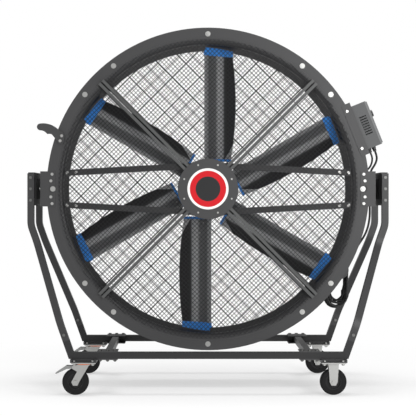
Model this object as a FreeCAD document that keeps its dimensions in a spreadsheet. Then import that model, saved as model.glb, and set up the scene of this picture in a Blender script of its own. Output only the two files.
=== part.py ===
import FreeCAD, Part
import math
import os
import re
import Sketcher

# Industrial floor fan on a wheeled stand.
# Millimetres, +Z up, front towards -Y, origin on the floor under the middle of the stand.

DRIVING_SIZES = [
    # fan head
    ("axis_height", 1165, "height of the tilt axis and of the fan axis"),
    ("flange_radius", 945, "outer radius of the shroud flanges"),
    ("drum_radius", 846, "inner radius of the drum"),
    ("sheet_wall", 3, "sheet thickness of the shroud"),
    ("shroud_depth", 360, "front flange face to rear flange face"),
    ("bell_radius", 24, "rounding from drum to flange"),
    ("seat_width", 16, "width of the recessed seat for a guard rim"),
    ("seat_step", 6, "depth of that seat"),
    ("lip_depth", 16, "folded outer lip of the flange"),
    ("flange_bolt_circle", 908, "radius of the flange bolt circle"),
    # guards
    ("rim_gap", 0.5, "room round a guard rim in its seat"),
    ("net_pitch", 100, "spacing of the guard net"),
    ("net_bar", 8, "width of a net bar"),
    ("net_thickness", 4, "thickness of the net"),
    ("stay_bar", 18, "width of one bar of a diagonal stay"),
    ("stay_slit", 8, "slit between the two bars of a stay"),
    ("stay_depth", 20, "depth of a stay"),
    ("hub_ring_inner", 128, "inner radius of the guard's hub ring"),
    ("hub_ring_outer", 170, "outer radius of the guard's hub ring"),
    ("hub_ring_thickness", 6, "thickness of the hub ring"),
    ("cover_radius", 177, "radius of the hub covers"),
    ("cover_thickness", 4, "thickness of the hub covers"),
    ("cover_screw_circle", 150, "radius of the cover screw circle"),
    # rotor
    ("hub_radius", 150, "outer radius of the rotor hub"),
    ("hub_wall", 10, "wall of the rotor hub"),
    ("hub_front", -132, "Y of the hub's front face"),
    ("hub_rear", 20, "Y of the hub's open rear edge"),
    ("bearing_length", 36, "length of the hub's bearing bore"),
    ("axle_radius", 25, "radius of the motor axle"),
    ("running_gap", 0.05, "radial gap of a running fit"),
    ("blade_pitch", 37, "angle between blade chord and fan plane"),
    ("blade_root", 178, "radius where the blades start"),
    ("blade_middle", 420, "radius of the widest blade section"),
    ("cap_start", 790, "radius where the tip caps start"),
    ("tip_gap", 8, "gap between blade tips and drum"),
    ("root_chord", 202, "blade chord at the root"),
    ("middle_chord", 235, "blade chord at the widest section"),
    ("tip_chord", 215, "blade chord at the tip"),
    ("blade_thickness", 26, "largest thickness of the blade section"),
    ("blade_camber", 20, "rise of the blade's middle line"),
    ("edge_thickness", 3, "thickness of the trailing edge"),
    ("edge_offset", -20, "sideways place of the trailing edge"),
    ("edge_front", -130, "Y of the trailing edge"),
    ("root_cap", 14, "length of the root caps"),
    ("cap_margin", 2, "how far the caps stand proud of the blade"),
    ("cap_chamfer", 22, "slant at the trailing end of a tip cap"),
    ("spar_width", 60, "width of a blade spar"),
    ("spar_thickness", 10, "thickness of a blade spar"),
    ("spar_chord", 78, "place of the spar along the chord"),
    ("spar_end", 300, "radius where the spars end"),
    ("spar_gap", 0.4, "room round a spar in its blade"),
    # motor and its arms
    ("plate_radius", 172, "radius of the motor plate"),
    ("plate_thickness", 8, "thickness of the motor plate"),
    ("plate_gap", 7, "gap between motor plate and rotor hub"),
    ("stator_radius", 115, "radius of the stator core"),
    ("stator_length", 80, "length of the stator core"),
    ("arm_width", 36, "height of a motor arm"),
    ("arm_depth", 25, "depth of a motor arm"),
    ("arm_wall", 3, "wall of a motor arm"),
    ("arm_outer_rise", 93.5, "height of an arm above the axis at the drum"),
    ("arm_inner_rise", 137, "height of an arm above the axis at the motor"),
    ("arm_inner_end", 60, "sideways place of an arm's inner end"),
    ("arm_seat_gap", 0.2, "gap between arm end and drum"),
    ("arm_bolt_inset", 22, "outer arm bolt from the drum"),
    ("arm_bolt_step", 52, "spacing of the arm bolts"),
    ("plate_bolt_inset", 16, "plate bolt from an arm's inner end"),
    # pivot brackets on the head
    ("bracket_wall", 4, "thickness of the pivot brackets"),
    ("bracket_inner", 895, "inner edge of a pivot bracket"),
    ("bracket_outer", 982, "outer face of a pivot bracket"),
    ("bracket_half", 103, "half the height of a pivot bracket"),
    ("near_bolt_inset", 24, "near bracket bolts from the inner edge"),
    ("near_bolt_rise", 47, "near bracket bolts above and below the axis"),
    ("far_bolt_inset", 17, "far bracket bolts from the inner edge"),
    ("far_bolt_rise", 86, "far bracket bolts above and below the axis"),
    ("notch_radius", 24, "notch round the flange bolt"),
    ("pivot_radius", 8, "radius of the pivot bolt"),
    ("pivot_end_gap", 0.3, "end play of the pivot"),
    # stand
    ("tube_size", 38, "side of the square tube"),
    ("tube_wall", 3, "wall of the square tube"),
    ("upright_offset", 1034, "sideways place of the uprights"),
    ("upright_spread", 197, "front to back place of the uprights"),
    ("upright_top", 1255, "top of the uprights"),
    ("shoulder_height", 953, "height of the first leg bend"),
    ("hip_height", 850, "height where the legs start to splay"),
    ("knee_height", 400, "height where the splay ends"),
    ("seam_height", 305, "height of the joint between leg and base"),
    ("rail_height", 223, "height of the rail centre line"),
    ("rail_corner", 775, "sideways place of the rail corners"),
    ("rail_spread", 430, "front to back place of the rails"),
    ("bend_radius", 140, "bend radius of the legs"),
    ("spigot_length", 56, "length of the spigot inside a leg"),
    ("spigot_gap", 0.3, "room round a spigot"),
    ("leg_bolt_rise", 36, "leg bolt above the seam, along the leg"),
    ("channel_wall", 5, "thickness of the pivot plates"),
    ("channel_half", 97, "half the height of a pivot plate"),
    ("channel_bolt_step", 66, "spacing of the pivot plate bolts"),
    ("pad_half_width", 150, "half the width of a friction pad"),
    ("pad_half_height", 59, "half the height of a friction pad"),
    ("pad_thickness", 6, "thickness of a friction pad"),
    ("brace_offset", 571, "sideways place of the cross braces"),
    ("brace_plate_length", 116, "length of a brace plate along the rail"),
    ("brace_plate_reach", 110, "length of a brace plate across the rail"),
    ("brace_plate", 6, "thickness of a brace plate"),
    ("brace_bolt_step", 42, "spacing of the brace bolts"),
    # casters
    ("caster_offset", 704, "sideways place of the casters"),
    ("caster_height", 186, "floor to top of the caster plate"),
    ("caster_plate_length", 136, "caster plate along X"),
    ("caster_plate_width", 110, "caster plate along Y"),
    ("caster_plate_wall", 6, "thickness of the caster plate"),
    ("caster_bolt_x", 52, "half the bolt spacing along X"),
    ("caster_bolt_y", 40, "half the bolt spacing along Y"),
    ("pad_length", 148, "caster pad along X"),
    ("pad_recess", 28, "depth of the recess at a pad's long side"),
    ("pad_floor", 6, "floor of the pad under that recess"),
    ("pad_end", 12, "end wall of the pad beside that recess"),
    ("wheel_radius", 75, "radius of a wheel"),
    ("wheel_width", 44, "width of a tyre"),
    ("core_radius", 46, "radius of a wheel core"),
    ("core_width", 50, "width of a wheel core"),
    ("core_gap", 0.4, "gap between wheel core and fork"),
    ("axle_bolt_radius", 6, "radius of a caster axle"),
    ("fork_wall", 4, "thickness of a fork leg"),
    ("fork_half_top", 33, "half the width of a fork leg at the top"),
    ("fork_half_foot", 22, "half the width of a fork leg at the axle"),
    ("fork_trail", 47, "axle behind the swivel axis"),
    ("fork_head", 5, "thickness of a fork's top"),
    ("seal_radius", 43, "radius of the swivel seal"),
    ("seal_height", 6, "height of the swivel seal"),
    ("seal_gap", 0.3, "gap between seal and fork"),
    ("kingpin_radius", 10, "radius of the swivel pin"),
    ("pedal_half", 24, "half the width of a brake pedal"),
    ("pedal_half_wall", 6, "half the thickness of a pedal at its pin"),
    ("pedal_crest", 42, "pedal bend from its pin"),
    ("pedal_reach", 62, "length of the pedal's foot plate"),
    ("pedal_drop", 34, "foot plate's outer end below the pin"),
    ("pedal_pin_radius", 4, "radius of the pedal's pin"),
    ("pedal_pin_x", -56, "pedal pin from the swivel axis"),
    ("pedal_pin_z", 158, "height of the pedal pin"),
    # control box
    ("box_angle", 21.9, "angle of the control box round the fan axis"),
    ("box_seat", 958, "distance of the box's back from the fan axis"),
    ("box_depth", 82, "depth of the control box case"),
    ("box_cover_depth", 15, "depth of its cover"),
    ("box_length", 269, "length of the control box"),
    ("box_front", -176, "Y of the box's front side"),
    ("box_width", 150, "width of the box along Y"),
    ("box_wall", 4, "wall of the case"),
    ("shelf_wall", 3, "thickness of the box bracket"),
    ("shelf_length", 320, "length of the box bracket"),
    ("shelf_inner", 905, "inner edge of the box bracket"),
    ("shelf_bolt_radius", 925, "place of the bracket bolts from the axis"),
    ("shelf_bolt_half", 117, "half the spacing of the bracket bolts"),
    ("vent_length", 44, "length of a vent slot"),
    ("vent_height", 6, "height of a vent slot"),
    ("vent_step", 15, "spacing of the vent slots"),
    ("knob_radius", 20, "radius of the speed knob"),
    ("knob_height", 18, "height of the speed knob"),
    ("knob_gap", 0.3, "gap under the knob"),
    ("knob_spindle", 4, "radius of the knob's spindle"),
    ("knob_mark", 1.5, "rise and half width of the knob's mark"),
    ("gland_radius", 13, "radius of a cable gland"),
    ("gland_length", 26, "length of a cable gland"),
    ("cable_entry_angle", 6, "where the motor cable enters the drum, round the fan axis"),
    ("cable_entry_y", -140, "Y of the motor cable's entry"),
    # handle
    ("handle_thickness", 14, "thickness of the tilt handle"),
    # fasteners
    ("m_six", 6, "small screw diameter"),
    ("m_ten", 10, "bolt diameter"),
    ("bolt_gap", 0.3, "radial room round a bolt"),
    # cord
    ("cord_diameter", 12.5, "diameter of the power cord"),
    ("motor_cable_diameter", 11, "diameter of the motor cable"),
    ("coil_step", 15, "spacing of the loops along Y"),
    ("coil_start", -118, "Y of the first loop"),
    ("coil_head_x", 775, "sideways place of the hook"),
    ("coil_head_drop", 477, "hook below the fan axis"),
    ("coil_foot_x", 764, "sideways place of the loops' lower bend"),
    ("coil_foot_drop", 632, "that bend below the fan axis"),
    ("coil_foot_radius", 58, "radius of that bend"),
    ("hook_radius", 43.2, "radius of the hook's tube"),
    ("hook_wall", 3, "wall of that tube"),
    ("hook_gap", 0.55, "gap between hook and coil"),
    ("hook_lip", 12, "rise of the lip at the hook's front end"),
    ("hook_plate", 6, "thickness of the lip and of the hook's plate"),
    ("hook_plate_half", 20, "half the width of the hook's plate"),
    ("weld_gap", 0.3, "gap left at a welded seat on the drum"),
    ("tail_shift", 32, "how far the cord's tail moves to the rear"),
    ("tail_drop", 90, "height of the cord's tail"),
    ("plug_radius", 18, "radius of the plug"),
    ("plug_length", 54, "length of the plug body"),
    ("pin_spacing", 13, "spacing of the plug's flat pins"),
    ("pin_thickness", 1.6, "thickness of a flat pin"),
    ("pin_width", 6.4, "width of a flat pin"),
    ("pin_length", 18, "length of a flat pin"),
]

doc = FreeCAD.newDocument("floor_fan")
sheet = doc.addObject("Spreadsheet::Sheet", "dims")
for row, (alias, number, meaning) in enumerate(DRIVING_SIZES, 1):
    sheet.set(f"A{row}", meaning)
    sheet.set(f"B{row}", str(number))
    sheet.setAlias(f"B{row}", alias)
doc.recompute()

NODES = {}
FRONT = -1
REAR = 1
LEFT = -1
RIGHT = 1
VECTOR = FreeCAD.Vector
TURN_TO = {
    "+z": FreeCAD.Rotation(),
    "-z": FreeCAD.Rotation(VECTOR(1, 0, 0), 180),
    "+x": FreeCAD.Rotation(VECTOR(0, 1, 0), 90),
    "-x": FreeCAD.Rotation(VECTOR(0, 1, 0), -90),
    "+y": FreeCAD.Rotation(VECTOR(1, 0, 0), -90),
    "-y": FreeCAD.Rotation(VECTOR(1, 0, 0), 90),
}


# Helpers that bind document objects to the sheet

def cell(text):
    """Turn plain size names into references to the sheet."""
    return re.sub(r"\b([a-z]+_[a-z_]+)\b", r"dims.\1", str(text))


def size(text):
    return float(sheet.evalExpression(cell(text)))


def bind(item, **properties):
    for name, text in properties.items():
        item.setExpression(name, cell(text))
    return item


def put(item, x=0, y=0, z=0, turn=None):
    """Place an object, with its position bound to the sheet."""
    if turn is not None:
        item.Placement = FreeCAD.Placement(VECTOR(), turn)
    for axis, text in zip("xyz", (x, y, z)):
        item.setExpression(f"Placement.Base.{axis}", cell(text))
    return item


def block(x, y, z, length, width, height):
    """A box from its lowest corner."""
    item = doc.addObject("Part::Box", "block")
    bind(item, Length=length, Width=width, Height=height)
    return put(item, x, y, z)


def rod(radius, height, x, y, z, towards="+z"):
    item = doc.addObject("Part::Cylinder", "rod")
    bind(item, Radius=radius, Height=height)
    return put(item, x, y, z, TURN_TO[towards])


def joined(*members):
    item = doc.addObject("Part::MultiFuse", "joined")
    item.Shapes = list(members)
    return item


def bundle(members):
    item = doc.addObject("Part::Compound", "bundle")
    item.Links = list(members)
    return item


def cut(base, *tools):
    item = doc.addObject("Part::Cut", "cut")
    item.Base = base
    item.Tool = tools[0] if len(tools) == 1 else bundle(tools)
    return item


def mirrored(source, normal):
    item = doc.addObject("Part::Mirroring", "mirrored")
    item.Source = source
    item.Base = VECTOR()
    item.Normal = normal
    return item


def shaped(shape):
    item = doc.addObject("Part::Feature", "shaped")
    item.Shape = shape
    return item


def node(name, item):
    item.Label = name
    NODES[name] = item
    return item


def hex_bolt(diameter, grip, x, y, z, towards, washer=0, nut=True):
    """A hexagon bolt: head behind the start point, shank and nut along the direction."""
    head = doc.addObject("Part::Prism", "head")
    head.Polygon = 6
    bind(head, Circumradius=f"{diameter} * 0.95", Height=f"{diameter} * 0.64")
    put(head, 0, 0, f"-{diameter} * 0.64 - {washer}")
    pieces = [head]
    thread = f"{grip} + {diameter} * 1.1" if nut else grip
    pieces.append(rod(f"{diameter} / 2", f"{thread} + {washer}", 0, 0, f"-({washer})"))
    if washer:
        pieces.append(rod(f"{diameter} * 1.55", washer, 0, 0, f"-({washer})"))
    if nut:
        tail = doc.addObject("Part::Prism", "nut")
        tail.Polygon = 6
        bind(tail, Circumradius=f"{diameter} * 0.95", Height=f"{diameter} * 0.8")
        put(tail, 0, 0, grip)
        pieces.append(tail)
    return put(joined(*pieces), x, y, z, TURN_TO[towards])


def bolt_hole(diameter, length, x, y, z, towards):
    return rod(f"{diameter} / 2 + bolt_gap", length, x, y, z, towards)


def sketch_outline(body, plane, corners):
    """A closed sketch on an origin plane. A corner is (x, y) or (x, y, arc centre x, sense)."""
    sketch = body.newObject("Sketcher::SketchObject", "outline")
    support = [item for item in body.Origin.OriginFeatures if item.Role == plane][0]
    sketch.AttachmentSupport = [(support, "")]
    sketch.MapMode = "FlatFace"
    points = [VECTOR(size(corner[0]), size(corner[1]), 0) for corner in corners]
    count = len(corners)
    starts = []
    for index, corner in enumerate(corners):
        start = points[index]
        end = points[(index + 1) % count]
        if len(corner) == 2:
            sketch.addGeometry(Part.LineSegment(start, end), False)
            starts.append((1, 2))
            continue
        middle = size(corner[2])
        rise = (end.x - middle) ** 2 - (start.x - middle) ** 2 + end.y ** 2 - start.y ** 2
        centre = VECTOR(middle, rise / (2 * (end.y - start.y)), 0)
        circle = Part.Circle(centre, VECTOR(0, 0, 1), start.distanceToPoint(centre))
        angles = [math.atan2(p.y - centre.y, p.x - centre.x) for p in (start, end)]
        if corner[3] == "left":
            sketch.addGeometry(Part.ArcOfCircle(circle, angles[0], angles[1]), False)
            starts.append((1, 2))
        else:
            sketch.addGeometry(Part.ArcOfCircle(circle, angles[1], angles[0]), False)
            starts.append((2, 1))
    for index in range(count):
        following = (index + 1) % count
        sketch.addConstraint(Sketcher.Constraint(
            "Coincident", index, starts[index][1], following, starts[following][0]))
    for index, corner in enumerate(corners):
        ties = [("DistanceX", starts[index][0], corner[0]), ("DistanceY", starts[index][0], corner[1])]
        if len(corner) == 4:
            ties.append(("DistanceX", 3, corner[2]))
        for kind, point, text in ties:
            tie = sketch.addConstraint(Sketcher.Constraint(kind, -1, 1, index, point, size(text)))
            sketch.setExpression(f"Constraints[{tie}]", cell(text))
    return sketch


def turned(corners):
    """A body of revolution about the local Y axis."""
    body = doc.addObject("PartDesign::Body", "turned")
    sketch = sketch_outline(body, "XY_Plane", corners)
    feature = body.newObject("PartDesign::Revolution", "revolution")
    feature.Profile = sketch
    feature.ReferenceAxis = (sketch, ["V_Axis"])
    feature.Angle = 360
    return body


def padded(plane, corners, depth):
    """A flat body padded both ways from an origin plane."""
    body = doc.addObject("PartDesign::Body", "padded")
    sketch = sketch_outline(body, plane, corners)
    feature = body.newObject("PartDesign::Pad", "pad")
    feature.Profile = sketch
    feature.Midplane = True
    feature.setExpression("Length", cell(depth))
    return body


def rounded_path(points, radius):
    """Straight runs joined by tangent arcs of one radius."""
    edges = []
    start = points[0]
    for before, corner, after in zip(points, points[1:], points[2:]):
        back = (before - corner).normalize()
        ahead = (after - corner).normalize()
        half_turn = (math.pi - back.getAngle(ahead)) / 2
        reach = radius * math.tan(half_turn)
        enter = corner + back * reach
        leave = corner + ahead * reach
        inward = (back + ahead).normalize()
        middle = corner + inward * (radius / math.cos(half_turn) - radius)
        edges.append(Part.LineSegment(start, enter).toShape())
        edges.append(Part.Arc(enter, middle, leave).toShape())
        start = leave
    edges.append(Part.LineSegment(start, points[-1]).toShape())
    return Part.Wire(edges)


def swept(path, section, mitred=False):
    shell = Part.BRepOffsetAPI.MakePipeShell(path)
    shell.add(section)
    if mitred:
        shell.setTransitionMode(1)
    shell.build()
    shell.makeSolid()
    return shell.shape()


def square_section(centre, along, side_direction, side):
    """A square wire square to a direction."""
    across = side_direction.cross(along).normalize() * (side / 2)
    up = along.cross(across).normalize() * (side / 2)
    corners = [centre + across + up, centre - across + up, centre - across - up, centre + across - up]
    return Part.makePolygon(corners + corners[:1])


def square_tube(points, radius, side_direction, mitred=False):
    path = Part.makePolygon(points) if mitred else rounded_path(points, radius)
    along = (points[1] - points[0]).normalize()
    outer = square_section(points[0], along, side_direction, size("tube_size"))
    inner = square_section(points[0], along, side_direction, size("tube_size - 2 * tube_wall"))
    return swept(path, outer, mitred).cut(swept(path, inner, mitred))


# Shroud

def shroud_side(end):
    """Half of the shroud section, from the drum's middle to one flange, as two lists of corners."""
    face = f"{end} * shroud_depth / 2"
    seat = f"{end} * (shroud_depth / 2 - seat_step)"
    bell = "drum_radius + bell_radius"
    arc_start = f"{end} * (shroud_depth / 2 - seat_step - bell_radius)"
    step = "drum_radius + bell_radius + seat_width"
    behind_face = f"{end} * (shroud_depth / 2 - sheet_wall)"
    behind_seat = f"{end} * (shroud_depth / 2 - seat_step - sheet_wall)"
    lip = f"{end} * (shroud_depth / 2 - lip_depth)"
    sense_in = "left" if end == FRONT else "right"
    inside = [("drum_radius", arc_start, bell, sense_in), (bell, seat), (step, seat), (step, face),
              ("flange_radius", face), ("flange_radius", lip)]
    outside = [("flange_radius - sheet_wall", lip), ("flange_radius - sheet_wall", behind_face),
               (f"{step} + sheet_wall", behind_face), (f"{step} + sheet_wall", behind_seat),
               (bell, behind_seat, bell, "right" if end == FRONT else "left"),
               ("drum_radius + sheet_wall", arc_start)]
    return inside, outside


def make_shroud():
    front_inside, front_outside = shroud_side(FRONT)
    rear_inside, rear_outside = shroud_side(REAR)
    corners = front_inside + front_outside
    rear_back = [(x[0], x[1]) for x in reversed(rear_outside)]
    rear_back[0] = rear_back[0] + ("drum_radius + bell_radius", "right")
    rear_front = [(x[0], x[1]) for x in reversed(rear_inside)]
    rear_front[4] = rear_front[4] + ("drum_radius + bell_radius", "left")
    corners += rear_back + rear_front
    ring = put(turned(corners), 0, 0, "axis_height")
    holes = []
    for end, towards in ((FRONT, "+y"), (REAR, "-y")):
        for x, z in FLANGE_BOLTS:
            holes.append(bolt_hole("m_ten", "lip_depth", x, f"{end} * (shroud_depth / 2 + 1)", z, towards))
    return ring, holes


DRUM_HALF = "(shroud_depth / 2 - seat_step - bell_radius)"


def slab(start, end):
    """A block wider than the shroud between two Y values."""
    half = "(flange_radius + lip_depth)"
    return block(f"-{half}", start, f"axis_height - {half}", f"2 * {half}", f"({end}) - ({start})", f"2 * {half}")


def round_circle(radius, angles):
    return [(f"{radius} * cos({angle})", f"axis_height + {radius} * sin({angle})") for angle in angles]


FLANGE_ANGLES = [angle for quarter in (0, 90, 180, 270) for angle in (quarter, quarter + 37.5, quarter + 52.5)]
FLANGE_BOLTS = round_circle("flange_bolt_circle", FLANGE_ANGLES)
SCREW_ANGLES = [22.5 + 45 * step for step in range(8)]


# Stand

LEG_SLOPE = "((upright_offset - rail_corner) / (shoulder_height - rail_height))"
RAIL_TOP = "(rail_height + tube_size / 2)"
RAIL_FOOT = "(rail_height - tube_size / 2)"


def leg_x(height):
    return f"(rail_corner + {LEG_SLOPE} * ({height} - rail_height))"


def leg_point(height, spread):
    return VECTOR(size(leg_x(height)), -size(spread), size(height))


def leg_direction():
    return VECTOR(size(LEG_SLOPE), 0, 1).normalize()


def make_leg():
    """The front right leg, from its top down to the seam."""
    points = [
        VECTOR(size("upright_offset"), -size("upright_spread"), size("upright_top")),
        leg_point("shoulder_height", "upright_spread"),
        leg_point("hip_height", "upright_spread"),
        leg_point("knee_height", "rail_spread"),
        leg_point("seam_height", "rail_spread"),
    ]
    tube = square_tube(points, size("bend_radius"), VECTOR(0, 1, 0))
    holes = [bolt_hole("m_ten", "2 * tube_size", "upright_offset", "-upright_spread - tube_size", z, "+y")
             for z in CHANNEL_BOLT_HEIGHTS]
    return cut(shaped(tube), leg_bolt_hole(), *holes)


def leg_bolt_place():
    along = f"leg_bolt_rise / sqrt(1 + {LEG_SLOPE} ^ 2)"
    return f"{leg_x('seam_height')} + {LEG_SLOPE} * {along}", f"seam_height + {along}"


def leg_bolt_hole():
    x, z = leg_bolt_place()
    return bolt_hole("m_ten", "2 * tube_size", x, "-rail_spread - tube_size", z, "+y")


CHANNEL_BOLT_HEIGHTS = [f"axis_height + channel_bolt_step * {step}" for step in (-1, 0, 1)]
BRACE_BOLTS = [f"{side} * brace_offset + brace_bolt_step * {step}" for side in (LEFT, RIGHT) for step in (-1, 0, 1)]


def make_base_frame():
    """The front rail with its two stub legs and the spigots that enter the legs."""
    seam = leg_point("seam_height", "rail_spread")
    corner = leg_point("rail_height", "rail_spread")
    flip = lambda point: VECTOR(-point.x, point.y, point.z)
    frame = square_tube([seam, corner, flip(corner), flip(seam)], 0, VECTOR(0, 1, 0), mitred=True)
    side = size("tube_size - 2 * tube_wall - 2 * spigot_gap")
    for start, along in ((seam, leg_direction()), (flip(seam), flip(leg_direction()))):
        reach = size("spigot_length")
        foot = start - along * reach
        spigot = Part.Face(square_section(foot, along, VECTOR(0, 1, 0), side)).extrude(along * (2 * reach))
        collar = Part.Face(square_section(foot, along, VECTOR(0, 1, 0), size("tube_size - 2 * tube_wall")))
        frame = frame.fuse([spigot, collar.extrude(along * reach)])
    holes = [leg_bolt_hole(), mirrored(leg_bolt_hole(), VECTOR(1, 0, 0))]
    holes += [bolt_hole("m_ten", "2 * tube_size", x, "-rail_spread", "rail_height - tube_size", "+z")
              for x in BRACE_BOLTS]
    return cut(shaped(frame.removeSplitter()), *holes)


def make_brace(side):
    """A cross brace with the plates that grip both rails."""
    x = f"{side} * brace_offset"
    inner = "(rail_spread - tube_size / 2)"
    outer = block(f"{x} - tube_size / 2", f"-{inner}", RAIL_FOOT, "tube_size", f"2 * {inner}", "tube_size")
    bore = block(f"{x} - tube_size / 2 + tube_wall", f"-{inner}", f"{RAIL_FOOT} + tube_wall",
                 "tube_size - 2 * tube_wall", f"2 * {inner}", "tube_size - 2 * tube_wall")
    pieces = [cut(outer, bore)]
    for end in (FRONT, REAR):
        edge = "-rail_spread - tube_size / 2"
        y = edge if end == FRONT else "rail_spread + tube_size / 2 - brace_plate_reach"
        for z in (RAIL_TOP, f"{RAIL_FOOT} - brace_plate"):
            pieces.append(block(f"{x} - brace_plate_length / 2", y, z, "brace_plate_length",
                                "brace_plate_reach", "brace_plate"))
    holes = []
    for end in (FRONT, REAR):
        for step in (-1, 0, 1):
            holes.append(bolt_hole("m_ten", "3 * tube_size", f"{x} + brace_bolt_step * {step}",
                                   f"{end} * rail_spread", "rail_height - 1.5 * tube_size", "+z"))
    return cut(joined(*pieces), *holes)


def make_channel():
    """The right pivot plate: a channel between the leg tops."""
    inner = "upright_offset - tube_size / 2"
    half = "(upright_spread - tube_size / 2)"
    foot = "axis_height - channel_half"
    web = block(inner, f"-{half}", foot, "channel_wall", f"2 * {half}", "2 * channel_half")
    front = block(inner, f"-{half}", foot, "tube_size", "channel_wall", "2 * channel_half")
    rear = block(inner, f"{half} - channel_wall", foot, "tube_size", "channel_wall", "2 * channel_half")
    holes = [rod("pivot_radius + bolt_gap", "4 * channel_wall", f"{inner} - channel_wall", 0, "axis_height", "+x")]
    for z in CHANNEL_BOLT_HEIGHTS:
        holes.append(bolt_hole("m_ten", "2 * upright_spread", "upright_offset", "-upright_spread", z, "+y"))
    return cut(joined(web, front, rear), *holes)


def make_friction_pad():
    inner = "upright_offset - tube_size / 2 - pad_thickness"
    pad = block(inner, "-pad_half_width", "axis_height - pad_half_height", "pad_thickness",
                "2 * pad_half_width", "2 * pad_half_height")
    hole = rod("pivot_radius + bolt_gap", "3 * pad_thickness", f"{inner} - pad_thickness", 0, "axis_height", "+x")
    return cut(pad, hole)


def make_pivot_bolt():
    """The right pivot bolt: head inside the bracket, lock nut outside it, nut outside the channel."""
    start = "(bracket_outer - bracket_wall - pivot_end_gap)"
    web = "(upright_offset - tube_size / 2)"
    sizes = (("pivot_radius * 1.3", f"{start} - pivot_radius * 1.3"),
             ("pivot_radius * 1.4", "bracket_outer + pivot_end_gap"),
             ("pivot_radius * 1.6", f"{web} + channel_wall"))
    pieces = []
    for height, x in sizes:
        hexagon = doc.addObject("Part::Prism", "hexagon")
        hexagon.Polygon = 6
        bind(hexagon, Circumradius="pivot_radius * 1.85", Height=height)
        pieces.append(put(hexagon, x, 0, "axis_height", TURN_TO["+x"]))
    length = f"{web} + channel_wall + pivot_radius * 2 - {start}"
    pieces.append(rod("pivot_radius", length, start, 0, "axis_height", "+x"))
    return joined(*pieces)


def make_stand():
    leg = make_leg()
    base = make_base_frame()
    across = VECTOR(1, 0, 0)
    lengthwise = VECTOR(0, 1, 0)
    node("front_right_leg", leg)
    node("front_left_leg", mirrored(leg, across))
    node("rear_right_leg", mirrored(leg, lengthwise))
    node("rear_left_leg", mirrored(NODES["front_left_leg"], lengthwise))
    node("front_base_frame", base)
    node("rear_base_frame", mirrored(base, lengthwise))
    node("left_cross_brace", make_brace(LEFT))
    node("right_cross_brace", make_brace(RIGHT))
    channel = node("right_pivot_plate", make_channel())
    node("left_pivot_plate", mirrored(channel, across))
    pad = make_friction_pad()
    node("friction_pads", bundle([pad, mirrored(pad, across)]))
    pivot = make_pivot_bolt()
    node("pivot_bolts", bundle([pivot, mirrored(pivot, across)]))
    bolts = []
    x, z = leg_bolt_place()
    for side in (LEFT, RIGHT):
        for end, towards in ((FRONT, "+y"), (REAR, "-y")):
            bolts.append(hex_bolt("m_ten", "tube_size", f"{side} * ({x})",
                                  f"{end} * (rail_spread + tube_size / 2)", z, towards))
            for height in CHANNEL_BOLT_HEIGHTS:
                bolts.append(hex_bolt("m_ten", "tube_size + channel_wall", f"{side} * upright_offset",
                                      f"{end} * (upright_spread + tube_size / 2)", height, towards))
    for end in (FRONT, REAR):
        for place in BRACE_BOLTS:
            bolts.append(hex_bolt("m_ten", "tube_size + 2 * brace_plate", place, f"{end} * rail_spread",
                                  f"{RAIL_TOP} + brace_plate", "-z"))
    node("stand_bolts", bundle(bolts))


make_stand()


# Casters

FORK_TOP = "(caster_height - caster_plate_wall - seal_height - seal_gap)"
FORK_HALF = "(core_width / 2 + core_gap + fork_wall)"
AXLE_DIAMETER = "(axle_bolt_radius * 2)"


def make_caster_pad(x, y):
    half = "caster_plate_width / 2"
    rise = f"{RAIL_FOOT} - caster_height"
    pad = block(f"{x} - pad_length / 2", f"{y} - {half}", "caster_height", "pad_length", "caster_plate_width", rise)
    recesses = []
    for edge in (f"{y} - {half}", f"{y} + {half} - pad_recess"):
        recesses.append(block(f"{x} - pad_length / 2 + pad_end", edge, "caster_height + pad_floor",
                              "pad_length - 2 * pad_end", "pad_recess", rise))
    return cut(pad, *recesses, *caster_bolt_holes(x, y))


def caster_bolt_places(x, y):
    return [(f"{x} + caster_bolt_x * {a}", f"{y} + caster_bolt_y * {b}") for a in (-1, 1) for b in (-1, 1)]


def caster_bolt_holes(x, y):
    return [bolt_hole("m_ten", "caster_height", a, b, "caster_height / 2", "+z")
            for a, b in caster_bolt_places(x, y)]


def make_caster_plate(x, y):
    return block(f"{x} - caster_plate_length / 2", f"{y} - caster_plate_width / 2",
                 "caster_height - caster_plate_wall", "caster_plate_length", "caster_plate_width",
                 "caster_plate_wall")


def make_swivel_plate(x, y):
    bore = rod("kingpin_radius + running_gap", "caster_height", x, y, "caster_height / 2")
    return cut(make_caster_plate(x, y), bore, *caster_bolt_holes(x, y))


def make_seal(x, y):
    foot = "caster_height - caster_plate_wall - seal_height"
    ring = rod("seal_radius", "seal_height", x, y, foot)
    return cut(ring, rod("kingpin_radius * 1.5", "3 * seal_height", x, y, f"{foot} - seal_height"))


def fork_legs(x, y, corners):
    legs = []
    for side in (-1, 1):
        leg = padded("XZ_Plane", corners, "fork_wall")
        legs.append(put(leg, x, f"{y} + {side} * ({FORK_HALF} - fork_wall / 2)", 0))
    return legs


def foot_corners(x):
    """The lower end of a fork leg round the axle, from its left to its right side."""
    return [(f"{x} - fork_half_foot", "wheel_radius"),
            (f"{x} - fork_half_foot * 0.55", "wheel_radius - fork_half_foot * 0.9"),
            (f"{x} + fork_half_foot * 0.55", "wheel_radius - fork_half_foot * 0.9"),
            (f"{x} + fork_half_foot", "wheel_radius")]


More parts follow.
